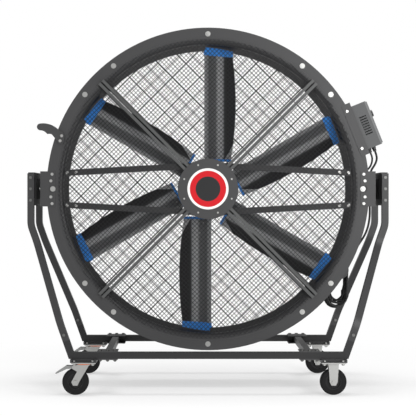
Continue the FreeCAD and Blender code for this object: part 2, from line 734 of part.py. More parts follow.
def make_swivel_fork(x, y):
    ear = "pedal_pin_x - 2 * pedal_pin_radius"
    corners = [("fork_half_top", FORK_TOP), ("-fork_half_top * 0.8", FORK_TOP),
               (ear, "pedal_pin_z + 1.6 * pedal_pin_radius"), (ear, "pedal_pin_z - 2 * pedal_pin_radius"),
               ("-fork_half_top - pedal_pin_radius", "pedal_pin_z - 6 * pedal_pin_radius")]
    corners += foot_corners("-fork_trail")
    head = block(f"{x} - fork_half_top", f"{y} - {FORK_HALF}", f"{FORK_TOP} - fork_head", "2 * fork_half_top",
                 f"2 * {FORK_HALF}", "fork_head")
    kingpin = rod("kingpin_radius", f"caster_height - seal_gap - {FORK_TOP} + fork_head", x, y,
                  f"{FORK_TOP} - fork_head")
    pin = rod("pedal_pin_radius", f"2 * {FORK_HALF}", f"{x} + pedal_pin_x", f"{y} - {FORK_HALF}", "pedal_pin_z", "+y")
    hole = bolt_hole(AXLE_DIAMETER, f"4 * {FORK_HALF}", f"{x} - fork_trail", f"{y} - 2 * {FORK_HALF}",
                     "wheel_radius", "+y")
    return cut(joined(head, kingpin, pin, *fork_legs(x, y, corners)), hole)


def make_fixed_fork(x, y):
    top = "(caster_height - caster_plate_wall)"
    corners = [("fork_half_top * 0.9", top), ("-fork_half_top * 0.9", top)] + foot_corners("0")
    legs = fork_legs(x, y, corners)
    hole = bolt_hole(AXLE_DIAMETER, f"4 * {FORK_HALF}", x, f"{y} - 2 * {FORK_HALF}", "wheel_radius", "+y")
    return cut(joined(make_caster_plate(x, y), *legs), hole, *caster_bolt_holes(x, y))


def make_axle(x, y):
    return hex_bolt(AXLE_DIAMETER, f"2 * {FORK_HALF}", x, f"{y} - {FORK_HALF}", "wheel_radius", "+y")


def make_pedal(x, y):
    """A bent foot plate that turns on the fork's pin."""
    inner = "pedal_pin_x + 2 * pedal_pin_radius"
    crest = "pedal_pin_x - pedal_crest"
    corners = [(inner, "pedal_pin_z + pedal_half_wall"), (crest, "pedal_pin_z + pedal_half_wall + 2"),
               (f"{crest} - pedal_reach", "pedal_pin_z - pedal_drop"),
               (f"{crest} - pedal_reach + 4", "pedal_pin_z - pedal_drop - 4"),
               (f"{crest} + 3", "pedal_pin_z - pedal_half_wall - 4"), (inner, "pedal_pin_z - pedal_half_wall")]
    pedal = put(padded("XZ_Plane", corners, "2 * pedal_half"), x, y, 0)
    bore = rod("pedal_pin_radius + running_gap", "4 * pedal_half", f"{x} + pedal_pin_x", f"{y} - 2 * pedal_half",
               "pedal_pin_z", "+y")
    return cut(pedal, bore)


def make_tyre(x, y):
    half = "wheel_width / 2"
    shoulder = "wheel_radius * 0.94"
    corners = [("core_radius", f"-{half}"), ("wheel_radius * 0.86", f"-{half}"),
               (shoulder, f"-{half} * 0.82"), ("wheel_radius", f"-{half} * 0.5"),
               ("wheel_radius", f"{half} * 0.5"), (shoulder, f"{half} * 0.82"),
               ("wheel_radius * 0.86", half), ("core_radius", half)]
    return put(turned(corners), x, y, "wheel_radius")


def make_wheel_core(x, y):
    bore = "axle_bolt_radius + running_gap"
    boss = "axle_bolt_radius * 2.6"
    rim = "core_radius - 6"
    corners = [(bore, "-core_width / 2"), (boss, "-core_width / 2"), (boss, "-core_width * 0.14"),
               (rim, "-core_width * 0.14"), (rim, "-wheel_width * 0.42"), ("core_radius", "-wheel_width * 0.42"),
               ("core_radius", "wheel_width * 0.42"), (rim, "wheel_width * 0.42"), (rim, "core_width * 0.14"),
               (boss, "core_width * 0.14"), (boss, "core_width / 2"), (bore, "core_width / 2")]
    return put(turned(corners), x, y, "wheel_radius")


def make_casters():
    groups = {name: [] for name in ("caster_pads", "caster_bolts", "swivel_plates", "swivel_seals",
                                    "fixed_forks", "fixed_axles")}
    for end, end_name in ((FRONT, "front"), (REAR, "rear")):
        y = f"{end} * rail_spread"
        for side, side_name in ((LEFT, "left"), (RIGHT, "right")):
            x = f"{side} * caster_offset"
            place = f"{end_name}_{side_name}"
            groups["caster_pads"].append(make_caster_pad(x, y))
            for a, b in caster_bolt_places(x, y):
                groups["caster_bolts"].append(hex_bolt("m_ten", "pad_floor + caster_plate_wall", a, b,
                                                       "caster_height + pad_floor", "-z"))
            axle_x = f"{x} - fork_trail" if side == LEFT else x
            if side == LEFT:
                groups["swivel_plates"].append(make_swivel_plate(x, y))
                groups["swivel_seals"].append(make_seal(x, y))
                node(f"{place}_fork", make_swivel_fork(x, y))
                node(f"{place}_axle", make_axle(axle_x, y))
                node(f"{place}_brake_pedal", make_pedal(x, y))
            else:
                groups["fixed_forks"].append(make_fixed_fork(x, y))
                groups["fixed_axles"].append(make_axle(axle_x, y))
            node(f"{place}_tyre", make_tyre(axle_x, y))
            node(f"{place}_wheel_core", make_wheel_core(axle_x, y))
    for name, members in groups.items():
        node(name, bundle(members))


make_casters()


# Fan head

def ring_plate(outer, inner, depth, y):
    """A flat ring about the fan axis, from y towards the rear."""
    disc = rod(outer, depth, 0, y, "axis_height", "+y")
    return cut(disc, rod(inner, f"3 * {depth}", 0, f"{y} - {depth}", "axis_height", "+y"))


def radial_bar(angle, start, end, offset, y, width, depth):
    """A flat bar at an angle round the fan axis, between two distances, beside the axis by an offset."""
    bar = doc.addObject("Part::Box", "bar")
    bind(bar, Length=f"({end}) - ({start})", Width=depth, Height=width)
    bar.Placement.Rotation = FreeCAD.Rotation(VECTOR(0, 1, 0), -angle)
    return put(bar, f"({start}) * cos({angle}) - ({offset}) * sin({angle})", y,
               f"axis_height + ({start}) * sin({angle}) + ({offset}) * cos({angle})")


RIM_OUTER = "(drum_radius + bell_radius + seat_width - rim_gap)"
NET_REACH = "(drum_radius + bell_radius + seat_width / 2)"


def make_front_rim():
    return ring_plate(RIM_OUTER, "drum_radius + bell_radius", "seat_step", "-shroud_depth / 2")


def make_net():
    """The front net: two layers of straight wires that cross at right angles."""
    count = int(size(f"{NET_REACH} / net_pitch") + 0.5)
    wires = []
    for angle, layer in ((45, 1), (135, 2)):
        for step in range(-count, count):
            middle = f"(net_pitch * {step + 0.5})"
            half = f"sqrt({NET_REACH} ^ 2 - {middle} ^ 2)"
            wires.append(radial_bar(angle, f"-{half}", half, f"{middle} - net_bar / 2",
                                    f"-shroud_depth / 2 - net_thickness / 2 * {layer}", "net_bar",
                                    "net_thickness / 2"))
    return wires


def make_front_guard():
    stay_front = "-shroud_depth / 2 - net_thickness - stay_depth"
    hub_ring = ring_plate("hub_ring_outer", "hub_ring_inner", "hub_ring_thickness", stay_front)
    bars = []
    for angle in (45, 135, 225, 315):
        for offset in ("stay_slit / 2", "-stay_slit / 2 - stay_bar"):
            bars.append(radial_bar(angle, "hub_ring_outer + rim_gap", f"{RIM_OUTER} - rim_gap", offset, stay_front,
                                   "stay_bar", "stay_depth"))
    holes = [bolt_hole("m_six", "4 * hub_ring_thickness", x, f"{stay_front} - hub_ring_thickness", z, "+y")
             for x, z in round_circle("cover_screw_circle", SCREW_ANGLES)]
    return bundle(make_net() + [cut(hub_ring, *holes)] + bars)


def make_front_cover():
    back = "-shroud_depth / 2 - net_thickness - stay_depth"
    cover = rod("cover_radius", "cover_thickness", 0, f"{back} - cover_thickness", "axis_height", "+y")
    holes = [bolt_hole("m_six", "4 * cover_thickness", x, f"{back} - 2 * cover_thickness", z, "+y")
             for x, z in round_circle("cover_screw_circle", SCREW_ANGLES)]
    return cut(cover, *holes)


def make_bracket():
    """The right pivot bracket: a channel over both flanges."""
    foot = "axis_height - bracket_half"
    length = "bracket_outer - bracket_inner"
    height = "2 * bracket_half"
    front = block("bracket_inner", "-shroud_depth / 2 - bracket_wall", foot, length, "bracket_wall", height)
    rear = block("bracket_inner", "shroud_depth / 2", foot, length, "bracket_wall", height)
    side = block("bracket_outer - bracket_wall", "-shroud_depth / 2 - bracket_wall", foot, "bracket_wall",
                 "shroud_depth + 2 * bracket_wall", height)
    holes = [rod("pivot_radius + running_gap", "3 * bracket_wall", "bracket_outer - 2 * bracket_wall", 0,
                 "axis_height", "+x"),
             rod("notch_radius", "2 * shroud_depth", "flange_bolt_circle", "-shroud_depth", "axis_height", "+y")]
    holes += [bolt_hole("m_ten", "2 * shroud_depth", x, "-shroud_depth", z, "+y") for x, z in BRACKET_BOLTS]
    return cut(joined(front, rear, side), *holes)


BRACKET_BOLTS = [(f"bracket_inner + {place}_bolt_inset", f"axis_height {sign} {place}_bolt_rise")
                 for place in ("near", "far") for sign in "-+"]
ARM_FRONT = "(hub_front - plate_gap - plate_thickness - arm_depth)"
ARM_BACK = "(hub_front - plate_gap - plate_thickness)"
ARM_SLOPE = "((arm_inner_rise - arm_outer_rise) / (drum_radius - arm_inner_end))"


def arm_rise(x):
    return f"(arm_outer_rise + {ARM_SLOPE} * (drum_radius - ({x})))"


ARM_BOLT_PLACES = ["drum_radius - arm_bolt_inset", "drum_radius - arm_bolt_inset - arm_bolt_step"]
PLATE_BOLT_PLACES = ["arm_inner_end + plate_bolt_inset"]


def make_arm():
    """The upper right motor arm, trimmed to the drum, with a closed outer end."""
    start = VECTOR(size("arm_inner_end"), 0, size(arm_rise("arm_inner_end")))
    end = VECTOR(size("drum_radius"), 0, size(arm_rise("drum_radius")))
    along = (end - start).normalize()
    up = VECTOR(-along.z, 0, along.x)
    front = VECTOR(0, size(ARM_FRONT), size("axis_height"))

    def bar(inset, first, last):
        half = up * (size("arm_width") / 2 - inset)
        corners = [first - half, last - half, last + half, first + half]
        face = Part.Face(Part.makePolygon([c + front + VECTOR(0, inset, 0) for c in corners + corners[:1]]))
        return face.extrude(VECTOR(0, size("arm_depth") - 2 * inset, 0))

    wall = size("arm_wall")
    solid = bar(0, start, end + along * wall)
    hollow = bar(wall, start - along * wall, end - along * (3 * wall + size("arm_width") / 4))
    drum = Part.makeCylinder(size("drum_radius - arm_seat_gap"), size("shroud_depth"),
                             VECTOR(0, -size("shroud_depth / 2"), size("axis_height")), VECTOR(0, 1, 0))
    holes = [bolt_hole("m_ten", "3 * arm_depth", x, f"{ARM_FRONT} - arm_depth", f"axis_height + {arm_rise(x)}", "+y")
             for x in ARM_BOLT_PLACES + PLATE_BOLT_PLACES]
    return cut(shaped(solid.cut(hollow).common(drum)), *holes)


def make_stator():
    """Motor plate, axle and stator core in one welded piece."""
    plate = rod("plate_radius", "plate_thickness", 0, ARM_BACK, "axis_height", "+y")
    axle = rod("axle_radius", f"hub_rear - {ARM_BACK}", 0, ARM_BACK, "axis_height", "+y")
    core = rod("stator_radius", "stator_length", 0, "hub_front + bearing_length + hub_wall / 2", "axis_height", "+y")
    holes = []
    for x in PLATE_BOLT_PLACES:
        for side in (LEFT, RIGHT):
            for level in (-1, 1):
                holes.append(bolt_hole("m_ten", "3 * plate_thickness", f"{side} * ({x})",
                                       f"{ARM_BACK} - plate_thickness", f"axis_height + {level} * {arm_rise(x)}", "+y"))
    return cut(joined(plate, axle, core), *holes)


def make_handle():
    """The tilt handle: a curved flat lever on the left of the front flange."""
    def point(x, z):
        return VECTOR(x, -size("shroud_depth / 2"), size("axis_height") + z)
    arcs = [((-984, 382), (-930, 379), (-868, 340)), ((-868, 340), (-843, 318), (-843, 290)),
            ((-843, 290), (-851, 266), (-874, 266)), ((-874, 266), (-890, 290), (-914, 319)),
            ((-914, 319), (-928, 322), (-940, 321)), ((-940, 321), (-957, 336), (-984, 343)),
            ((-984, 343), (-1000, 362), (-984, 382))]
    edges = [Part.Arc(*[point(*p) for p in arc]).toShape() for arc in arcs]
    lever = Part.Face(Part.Wire(edges)).extrude(VECTOR(0, -size("handle_thickness"), 0))
    holes = [bolt_hole("m_ten", "4 * handle_thickness", x, "-shroud_depth / 2 - 2 * handle_thickness", z, "+y")
             for x, z in HANDLE_BOLTS]
    return cut(shaped(lever), *holes)


HANDLE_BOLTS = [("-855", "axis_height + 310"), ("-864", "axis_height + 281")]


def make_head():
    ring, holes = make_shroud()
    for x, z in BRACKET_BOLTS:
        for side in (LEFT, RIGHT):
            holes.append(bolt_hole("m_ten", "2 * shroud_depth", f"{side} * ({x})", "-shroud_depth", z, "+y"))
    holes += [bolt_hole("m_ten", "lip_depth", x, "-shroud_depth / 2 - 1", z, "+y") for x, z in HANDLE_BOLTS]
    holes += [bolt_hole("m_ten", "lip_depth", x, "-shroud_depth / 2 - 1", z, "+y") for x, z in SHELF_BOLTS]
    holes.append(put_on_drum(rod("gland_radius * 0.6", "8 * sheet_wall", 0, 0, "drum_radius - 4 * sheet_wall")))
    shroud = cut(ring, *holes)
    node("drum_shell", cut(shroud, slab("-shroud_depth", f"-{DRUM_HALF}"), slab(DRUM_HALF, "shroud_depth")))
    node("front_flange", cut(shroud, slab(f"-{DRUM_HALF}", "shroud_depth")))
    node("rear_flange", cut(shroud, slab("-shroud_depth", DRUM_HALF)))
    lengthwise = VECTOR(0, 1, 0)
    across = VECTOR(1, 0, 0)
    rim = make_front_rim()
    node("guard_rims", bundle([rim, mirrored(rim, lengthwise)]))
    guard = node("front_guard", make_front_guard())
    node("rear_guard", mirrored(guard, lengthwise))
    cover = make_front_cover()
    node("hub_covers", bundle([cover, mirrored(cover, lengthwise)]))
    fixings = []
    for end, towards in ((FRONT, "+y"), (REAR, "-y")):
        for x, z in round_circle("cover_screw_circle", SCREW_ANGLES):
            y = f"{end} * (shroud_depth / 2 + net_thickness + stay_depth + cover_thickness)"
            fixings.append(hex_bolt("m_six", "cover_thickness + hub_ring_thickness", x, y, z, towards, nut=False))
        for x, z in FLANGE_BOLTS:
            fixings.append(hex_bolt("m_ten", "sheet_wall", x, f"{end} * shroud_depth / 2", z, towards, "2.5"))
    bracket = node("right_pivot_bracket", make_bracket())
    node("left_pivot_bracket", mirrored(bracket, across))
    arm = make_arm()
    arms = []
    for side in (LEFT, RIGHT):
        sided = arm if side == RIGHT else mirrored(arm, across)
        lower = mirrored(sided, VECTOR(0, 0, 1))
        lower.setExpression("Base.z", cell("axis_height"))
        arms += [sided, lower]
    node("motor_arms", bundle(arms))
    node("motor_stator", make_stator())
    node("tilt_handle", make_handle())
    for side in (LEFT, RIGHT):
        for x, z in BRACKET_BOLTS:
            for end, towards in ((FRONT, "+y"), (REAR, "-y")):
                fixings.append(hex_bolt("m_ten", "bracket_wall + sheet_wall", f"{side} * ({x})",
                                        f"{end} * (shroud_depth / 2 + bracket_wall)", z, towards))
        for level in (-1, 1):
            for x in ARM_BOLT_PLACES:
                fixings.append(hex_bolt("m_ten", "arm_depth", f"{side} * ({x})", ARM_FRONT,
                                        f"axis_height + {level} * {arm_rise(x)}", "+y", nut=False))
            for x in PLATE_BOLT_PLACES:
                fixings.append(hex_bolt("m_ten", "arm_depth + plate_thickness", f"{side} * ({x})", ARM_FRONT,
                                        f"axis_height + {level} * {arm_rise(x)}", "+y", nut=False))
    for x, z in HANDLE_BOLTS:
        fixings.append(hex_bolt("m_ten", "handle_thickness + sheet_wall", x,
                                "-shroud_depth / 2 - handle_thickness", z, "+y"))
    for x, z in SHELF_BOLTS:
        fixings.append(hex_bolt("m_ten", "shelf_wall + sheet_wall", x, "-shroud_depth / 2 - shelf_wall", z, "+y"))
    node("head_bolts", bundle(fixings))


# Control box, modelled with its back on local X = box_seat and its length along local Z

BOX_TURN = FreeCAD.Rotation(VECTOR(0, 1, 0), -size("box_angle"))
DRUM_GLAND_TURN = FreeCAD.Rotation(VECTOR(0, 1, 0), 90 - size("cable_entry_angle"))


def put_on_box(item):
    return put(item, 0, 0, "axis_height", BOX_TURN)


def put_on_drum(item):
    holder = bundle([item])
    return put(holder, 0, "cable_entry_y", "axis_height", DRUM_GLAND_TURN)


SHELF_BOLTS = [(f"shelf_bolt_radius * cos(box_angle) - {half} * sin(box_angle)",
                f"axis_height + shelf_bolt_radius * sin(box_angle) + {half} * cos(box_angle)")
               for half in ("shelf_bolt_half", "(-shelf_bolt_half)")]


def make_shelf():
    front = block("shelf_inner", "-shroud_depth / 2 - shelf_wall", "-shelf_length / 2",
                  "box_seat - shelf_inner", "shelf_wall", "shelf_length")
    back = block("box_seat - shelf_wall", "-shroud_depth / 2 - shelf_wall", "-shelf_length / 2", "shelf_wall",
                 "box_front + box_width + shroud_depth / 2 + shelf_wall", "shelf_length")
    holes = [bolt_hole("m_ten", "4 * shelf_wall", "shelf_bolt_radius", "-shroud_depth / 2 - 3 * shelf_wall",
                       f"{side} * shelf_bolt_half", "+y") for side in (-1, 1)]
    return put_on_box(cut(joined(front, back), *holes))


def make_case():
    outer = block("box_seat", "box_front", "-box_length / 2", "box_depth", "box_width", "box_length")
    inner = block("box_seat + box_wall", "box_front + box_wall", "-box_length / 2 + box_wall", "box_depth",
                  "box_width - 2 * box_wall", "box_length - 2 * box_wall")
    vents = []
    for step in range(8):
        vents.append(block("box_seat + (box_depth - vent_length) / 2", "box_front - box_wall",
                           f"-box_length * 0.2 + vent_step * {step}", "vent_length", "3 * box_wall", "vent_height"))
    bores = [rod("gland_radius * 0.6", "3 * box_wall", x, GLAND_Y, "-box_length / 2 - box_wall")
             for x in GLAND_PLACES]
    return put_on_box(cut(outer, inner, *vents, *bores))


GLAND_Y = "(box_front + box_width / 2)"
GLAND_PLACES = ["box_seat + box_depth * 0.2", "box_seat + box_depth * 0.55"]
COVER_FACE = "(box_seat + box_depth + box_cover_depth)"
KNOB_RISE = "box_length * 0.2"


def make_box_cover():
    back = block("box_seat + box_depth", "box_front", "-box_length / 2", "box_cover_depth / 2", "box_width",
                 "box_length")
    inset = "box_wall * 1.5"
    face = block("box_seat + box_depth", f"box_front + {inset}", f"-box_length / 2 + {inset}", "box_cover_depth",
                 f"box_width - 2 * {inset}", f"box_length - 2 * {inset}")
    bore = rod("knob_spindle + running_gap", "3 * box_cover_depth", "box_seat + box_depth - box_cover_depth", GLAND_Y,
               KNOB_RISE, "+x")
    return put_on_box(cut(joined(back, face), bore))


def make_knob():
    cap = rod("knob_radius", "knob_height", f"{COVER_FACE} + knob_gap", GLAND_Y, KNOB_RISE, "+x")
    spindle = rod("knob_spindle", "box_cover_depth + knob_gap", "box_seat + box_depth", GLAND_Y, KNOB_RISE, "+x")
    mark = block(f"{COVER_FACE} + knob_gap + knob_height", f"{GLAND_Y} - knob_mark", KNOB_RISE, "knob_mark",
                 "2 * knob_mark", "knob_radius * 0.9")
    return put_on_box(joined(cap, spindle, mark))


def gland(bore):
    """A cable gland that screws into a wall at local z = 0 and points along +z."""
    body = joined(rod("gland_radius", "gland_length * 0.4", 0, 0, 0),
                  rod("gland_radius * 0.8", "gland_length", 0, 0, 0),
                  rod("gland_radius * 0.55", "box_wall", 0, 0, "-box_wall"))
    return cut(body, rod(f"{bore} / 2", "3 * gland_length", 0, 0, "-gland_length"))


def make_glands():
    glands = []
    for x, bore in zip(GLAND_PLACES, ("motor_cable_diameter", "cord_diameter")):
        item = put(gland(bore), x, GLAND_Y, "-box_length / 2", TURN_TO["-z"])
        glands.append(put_on_box(bundle([item])))
    item = put(gland("motor_cable_diameter"), 0, 0, "drum_radius + sheet_wall + 1")
    glands.append(put_on_drum(item))
    return bundle(glands)


def make_control_box():
    node("control_bracket", make_shelf())
    node("control_box", make_case())
    node("control_cover", make_box_cover())
    node("speed_knob", make_knob())
    node("cable_glands", make_glands())


make_head()
make_control_box()


# Rotor, with its first blade along +Z

BLADES = 6
PITCH = math.radians(size("blade_pitch"))
CHORDWISE = VECTOR(math.cos(PITCH), math.sin(PITCH), 0)
OUTWARD = VECTOR(-math.sin(PITCH), math.cos(PITCH), 0)
TRAILING_EDGE = VECTOR(size("edge_offset"), size("edge_front"), 0)


def camber_at(along, chord):
    """Rise and slope of the blade's middle line at a place along the chord."""
    rise = size("blade_camber")
    radius = (chord ** 2 / 4 + rise ** 2) / (2 * rise)
    drop = math.sqrt(radius ** 2 - (along - chord / 2) ** 2)
    return drop - radius + rise, (chord / 2 - along) / drop


def blade_section(height, chord, margin=0.0, trim=0.0):
    """A cambered blade section: thin trailing edge, rounded leading edge."""
    def point(along, rise):
        spot = TRAILING_EDGE + CHORDWISE * along + OUTWARD * rise
        return VECTOR(spot.x, spot.y, height)
    tail = trim - margin
    nose = chord + margin
    thick = size("blade_thickness") / 2 + margin
    edge = size("edge_thickness") / 2 + margin
    middle, _ = camber_at((tail + nose) / 2, chord)
    foot, _ = camber_at(max(tail, 0), chord)
    round_start = nose - size("blade_thickness") * 0.4
    shoulder, _ = camber_at(round_start, chord)
    blunt = size("blade_thickness") * 0.28 + margin
    front = [point(tail, foot - edge), point((tail + nose) / 2, middle - thick),
             point(round_start, shoulder - blunt)]
    rear = [point(round_start, shoulder + blunt), point((tail + nose) / 2, middle + thick),
            point(tail, foot + edge)]
    edges = [Part.Arc(*front), Part.Arc(front[2], point(nose, shoulder - blunt * 0.3), rear[0]), Part.Arc(*rear),
             Part.LineSegment(rear[2], front[0])]
    return Part.Wire([edge_item.toShape() for edge_item in edges])


def spar_frame():
    """Centre of the spar section, with its width and thickness directions."""
    rise, slope = camber_at(size("spar_chord"), size("root_chord"))
    width = (CHORDWISE + OUTWARD * slope).normalize()
    thickness = VECTOR(-width.y, width.x, 0)
    return TRAILING_EDGE + CHORDWISE * size("spar_chord") + OUTWARD * rise, width, thickness


def spar_bar(start, end, gap):
    centre, width, thickness = spar_frame()
    across = width * (size("spar_width") / 2 + gap)
    through = thickness * (size("spar_thickness") / 2 + gap)
    corners = [centre + a * across.Length * width + b * through.Length * thickness + VECTOR(0, 0, start)
               for a, b in ((-1, -1), (1, -1), (1, 1), (-1, 1))]
    face = Part.Face(Part.makePolygon(corners + corners[:1]))
    return face.extrude(VECTOR(0, 0, end - start))


def blade_bolts():
    """Places of the blade bolts on the front of the spar, and the direction into it."""
    centre, width, thickness = spar_frame()
    root = size("blade_root")
    places = [(-16, root + 20), (16, root + 20), (8, root + 84)]
    return [centre + width * a + VECTOR(0, 0, z) for a, z in places], thickness


def round_the_axis(shape):
    """Copies of a shape for every blade, about the fan axis at its real height."""
    copies = []
    for index in range(BLADES):
        copy = shape.copy()
        copy.rotate(VECTOR(), VECTOR(0, 1, 0), 360 * index / BLADES)
        copy.translate(VECTOR(0, 0, size("axis_height")))
        copies.append(copy)
    return copies


def make_blade():
    levels = [(size("blade_root"), size("root_chord")), (size("blade_middle"), size("middle_chord")),
              (size("cap_start"), size("tip_chord"))]
    blade = Part.makeLoft([blade_section(*level) for level in levels], True, False)
    blade = blade.cut(spar_bar(size("blade_root") - 1, size("spar_end + spar_gap"), size("spar_gap")))
    places, inward = blade_bolts()
    head_seat = size("spar_thickness") / 2 + size("spar_gap") + 2
    for place in places:
        seat = place - inward * head_seat
        blade = blade.cut(Part.makeCylinder(size("m_six"), 30, seat, inward * -1))
        blade = blade.cut(Part.makeCylinder(size("m_six") / 2 + size("bolt_gap"), head_seat * 2, seat, inward))
    return blade


def make_tip_cap():
    start = size("cap_start")
    chord = size("tip_chord")
    margin = size("cap_margin")
    tip = size("drum_radius - tip_gap")
    middle = (start + tip) / 2
    straight = Part.makeLoft([blade_section(start, chord, margin), blade_section(middle, chord, margin)], True)
    slanted = Part.makeLoft([blade_section(middle, chord, margin),
                             blade_section(tip + margin, chord, margin, size("cap_chamfer"))], True)
    limit = Part.makeCylinder(tip, size("shroud_depth"), VECTOR(0, -size("shroud_depth / 2"), 0), VECTOR(0, 1, 0))
    return straight.fuse(slanted).common(limit).removeSplitter()


def make_root_cap():
    start = size("blade_root - root_cap")
    chord = size("root_chord")
    margin = size("cap_margin")
    cap = Part.makeLoft([blade_section(start, chord, margin), blade_section(size("blade_root"), chord, margin)], True)
    return cap.cut(spar_bar(start - 1, size("blade_root") + 1, size("spar_gap")))


def make_blade_bolt_shapes():
    places, inward = blade_bolts()
    head_seat = size("spar_thickness") / 2 + size("spar_gap") + 2
    shapes = []
    for place in places:
        seat = place - inward * head_seat
        head = Part.makeCylinder(size("m_six") * 0.9, size("m_six") * 0.6, seat, inward * -1)
        shapes.append(head.fuse(Part.makeCylinder(size("m_six") / 2, head_seat * 2 - 1, seat, inward)))
    return shapes


def make_hub():
    """The rotor cup with its bearing boss and the six spars."""
    length = size("hub_rear - hub_front")
    inner = size("hub_radius - hub_wall")
    front = VECTOR(0, size("hub_front"), 0)
    along = VECTOR(0, 1, 0)
    bore = size("axle_radius + running_gap")
    cup = Part.makeCylinder(size("hub_radius"), length, front, along)
    cup = cup.cut(Part.makeCylinder(inner, length, front + along * size("hub_wall"), along))
    cup = cup.fuse(Part.makeCylinder(bore + size("hub_wall"), size("bearing_length"), front, along))
    cup.translate(VECTOR(0, 0, size("axis_height")))
    spar = spar_bar(inner + size("hub_wall") / 4, size("spar_end"), 0)
    root = spar_bar(0, size("hub_radius"), 0)
    limit = Part.makeCylinder(size("hub_radius - hub_wall / 2"), length, front, along)
    spar = spar.fuse(root.cut(limit)).removeSplitter()
    places, inward = blade_bolts()
    for place in places:
        spar = spar.cut(Part.makeCylinder(size("m_six") / 2 + size("bolt_gap"), 40, place - inward * 20, inward))
    cup = cup.fuse(round_the_axis(spar))
    start = front - along * (length / 2) + VECTOR(0, 0, size("axis_height"))
    return cup.cut(Part.makeCylinder(bore, 2 * length, start, along))


def make_rotor():
    node("rotor_hub", shaped(make_hub()))
    node("fan_blades", shaped(Part.makeCompound(round_the_axis(make_blade()))))
    caps = round_the_axis(make_tip_cap()) + round_the_axis(make_root_cap())
    node("blade_caps", shaped(Part.makeCompound(caps)))
    bolts = [copy for bolt in make_blade_bolt_shapes() for copy in round_the_axis(bolt)]
    node("blade_bolts", shaped(Part.makeCompound(bolts)))


make_rotor()


# Cords. The points are (x, y, height above the fan axis).

MOTOR_CABLE_POINTS = [(974, -103, 188), (972, -109, 160), (960, -120, 132), (938, -131, 109), (907, -140, 95.4)]
LEAD_POINTS = [(1001, -101, 198), (1001, -101, 170), (988, -100, 140), (970, -99, 115), (960, -98, 83),
               (957, -97, 40), (956, -96, -5), (958, -96, -55), (960, -97, -105), (960, -99, -155),
               (954, -102, -203), (941, -105, -248), (920, -108, -288), (896, -110, -322)]
# Each loop's lower bend: moved sideways, moved down, and grown in radius
COIL_FEET = [(0, 0, 0), (8, -12, -4), (-10, 8, 2), (14, -20, -8), (-4, 4, 0), (18, -8, -2), (-14, -26, 4), (6, -4, -6)]
ARC_SHARE = 0.45
LEAD_LAST_RUN = 44
SAMPLE_STEP = 6
NEIGHBOUR_LENGTH = 60


def from_axis(points):
    return [VECTOR(x, y, size("axis_height") + z) for x, y, z in points]


def arc_edge(start, corner, end):
    """An arc that leaves start towards corner and reaches end from it, with its radius."""
    back = (start - corner).normalize()
    ahead = (end - corner).normalize()
    half_turn = (math.pi - back.getAngle(ahead)) / 2
    radius = (start - corner).Length / math.tan(half_turn)
    middle = corner + (back + ahead).normalize() * (radius / math.cos(half_turn) - radius)
    return Part.Arc(start, middle, end).toShape(), radius


def cord_path(name, points):
    """Straight runs joined by arcs as large as the runs allow."""
    edges = []
    radii = []
    start = points[0]
    for before, corner, after in zip(points, points[1:], points[2:]):
        reach = ARC_SHARE * min((before - corner).Length, (after - corner).Length)
        enter = corner + (before - corner).normalize() * reach
        leave = corner + (after - corner).normalize() * reach
        arc, radius = arc_edge(enter, corner, leave)
        edges += [Part.LineSegment(start, enter).toShape(), arc]
        radii.append(round(radius))
        start = leave
    edges.append(Part.LineSegment(start, points[-1]).toShape())
    print(name, "bend radii", radii)
    return Part.Wire(edges)


def cord_tube(name, path, start, along, diameter):
    tube = swept(path, Part.Wire(Part.makeCircle(diameter / 2, start, along)))
    expected = math.pi * diameter ** 2 / 4 * path.Length
    print(f"{name} length {path.Length:.0f}, volume over section times length {tube.Volume / expected:.4f}")
    return shaped(tube)


def routed_cord(name, points, diameter):
    along = (points[1] - points[0]).normalize()
    return node(name, cord_tube(name, cord_path(name, points), points[0], along, diameter))


def box_gland_tip(place):
    """Where a cable leaves a gland of the control box."""
    local = VECTOR(size(place), size(GLAND_Y), -size("box_length / 2 + gland_length"))
    return BOX_TURN.multVec(local) + VECTOR(0, 0, size("axis_height"))


def drum_gland_tip():
    local = VECTOR(0, 0, size("drum_radius + sheet_wall + gland_length") + 1)
    return DRUM_GLAND_TURN.multVec(local) + VECTOR(0, size("cable_entry_y"), size("axis_height"))


COIL_HEAD = VECTOR(size("coil_head_x"), 0, size("axis_height - coil_head_drop"))
HEAD_RADIUS = size("hook_radius + hook_gap + cord_diameter / 2")


def coil_foot(shift):
    """Centre and radius of one loop's lower bend."""
    across, drop, growth = shift
    centre = VECTOR(size("coil_foot_x") + across, 0, size("axis_height - coil_foot_drop") - drop)
    return centre, size("coil_foot_radius") + growth


def run_angles(foot, foot_radius):
    """Where the right and left runs touch both bends, as angles, and the length of a run."""
    gap = COIL_HEAD - foot
    line = math.atan2(gap.z, gap.x)
    spread = math.acos((foot_radius - HEAD_RADIUS) / gap.Length)
    run = math.sqrt(gap.Length ** 2 - (foot_radius - HEAD_RADIUS) ** 2)
    return line - spread, line + spread, run


def on_bend(centre, radius, angle):
    """A point on a bend and the direction in which the cord passes it."""
    spot = centre + VECTOR(math.cos(angle), 0, math.sin(angle)) * radius
    return spot, VECTOR(math.sin(angle), 0, -math.cos(angle))


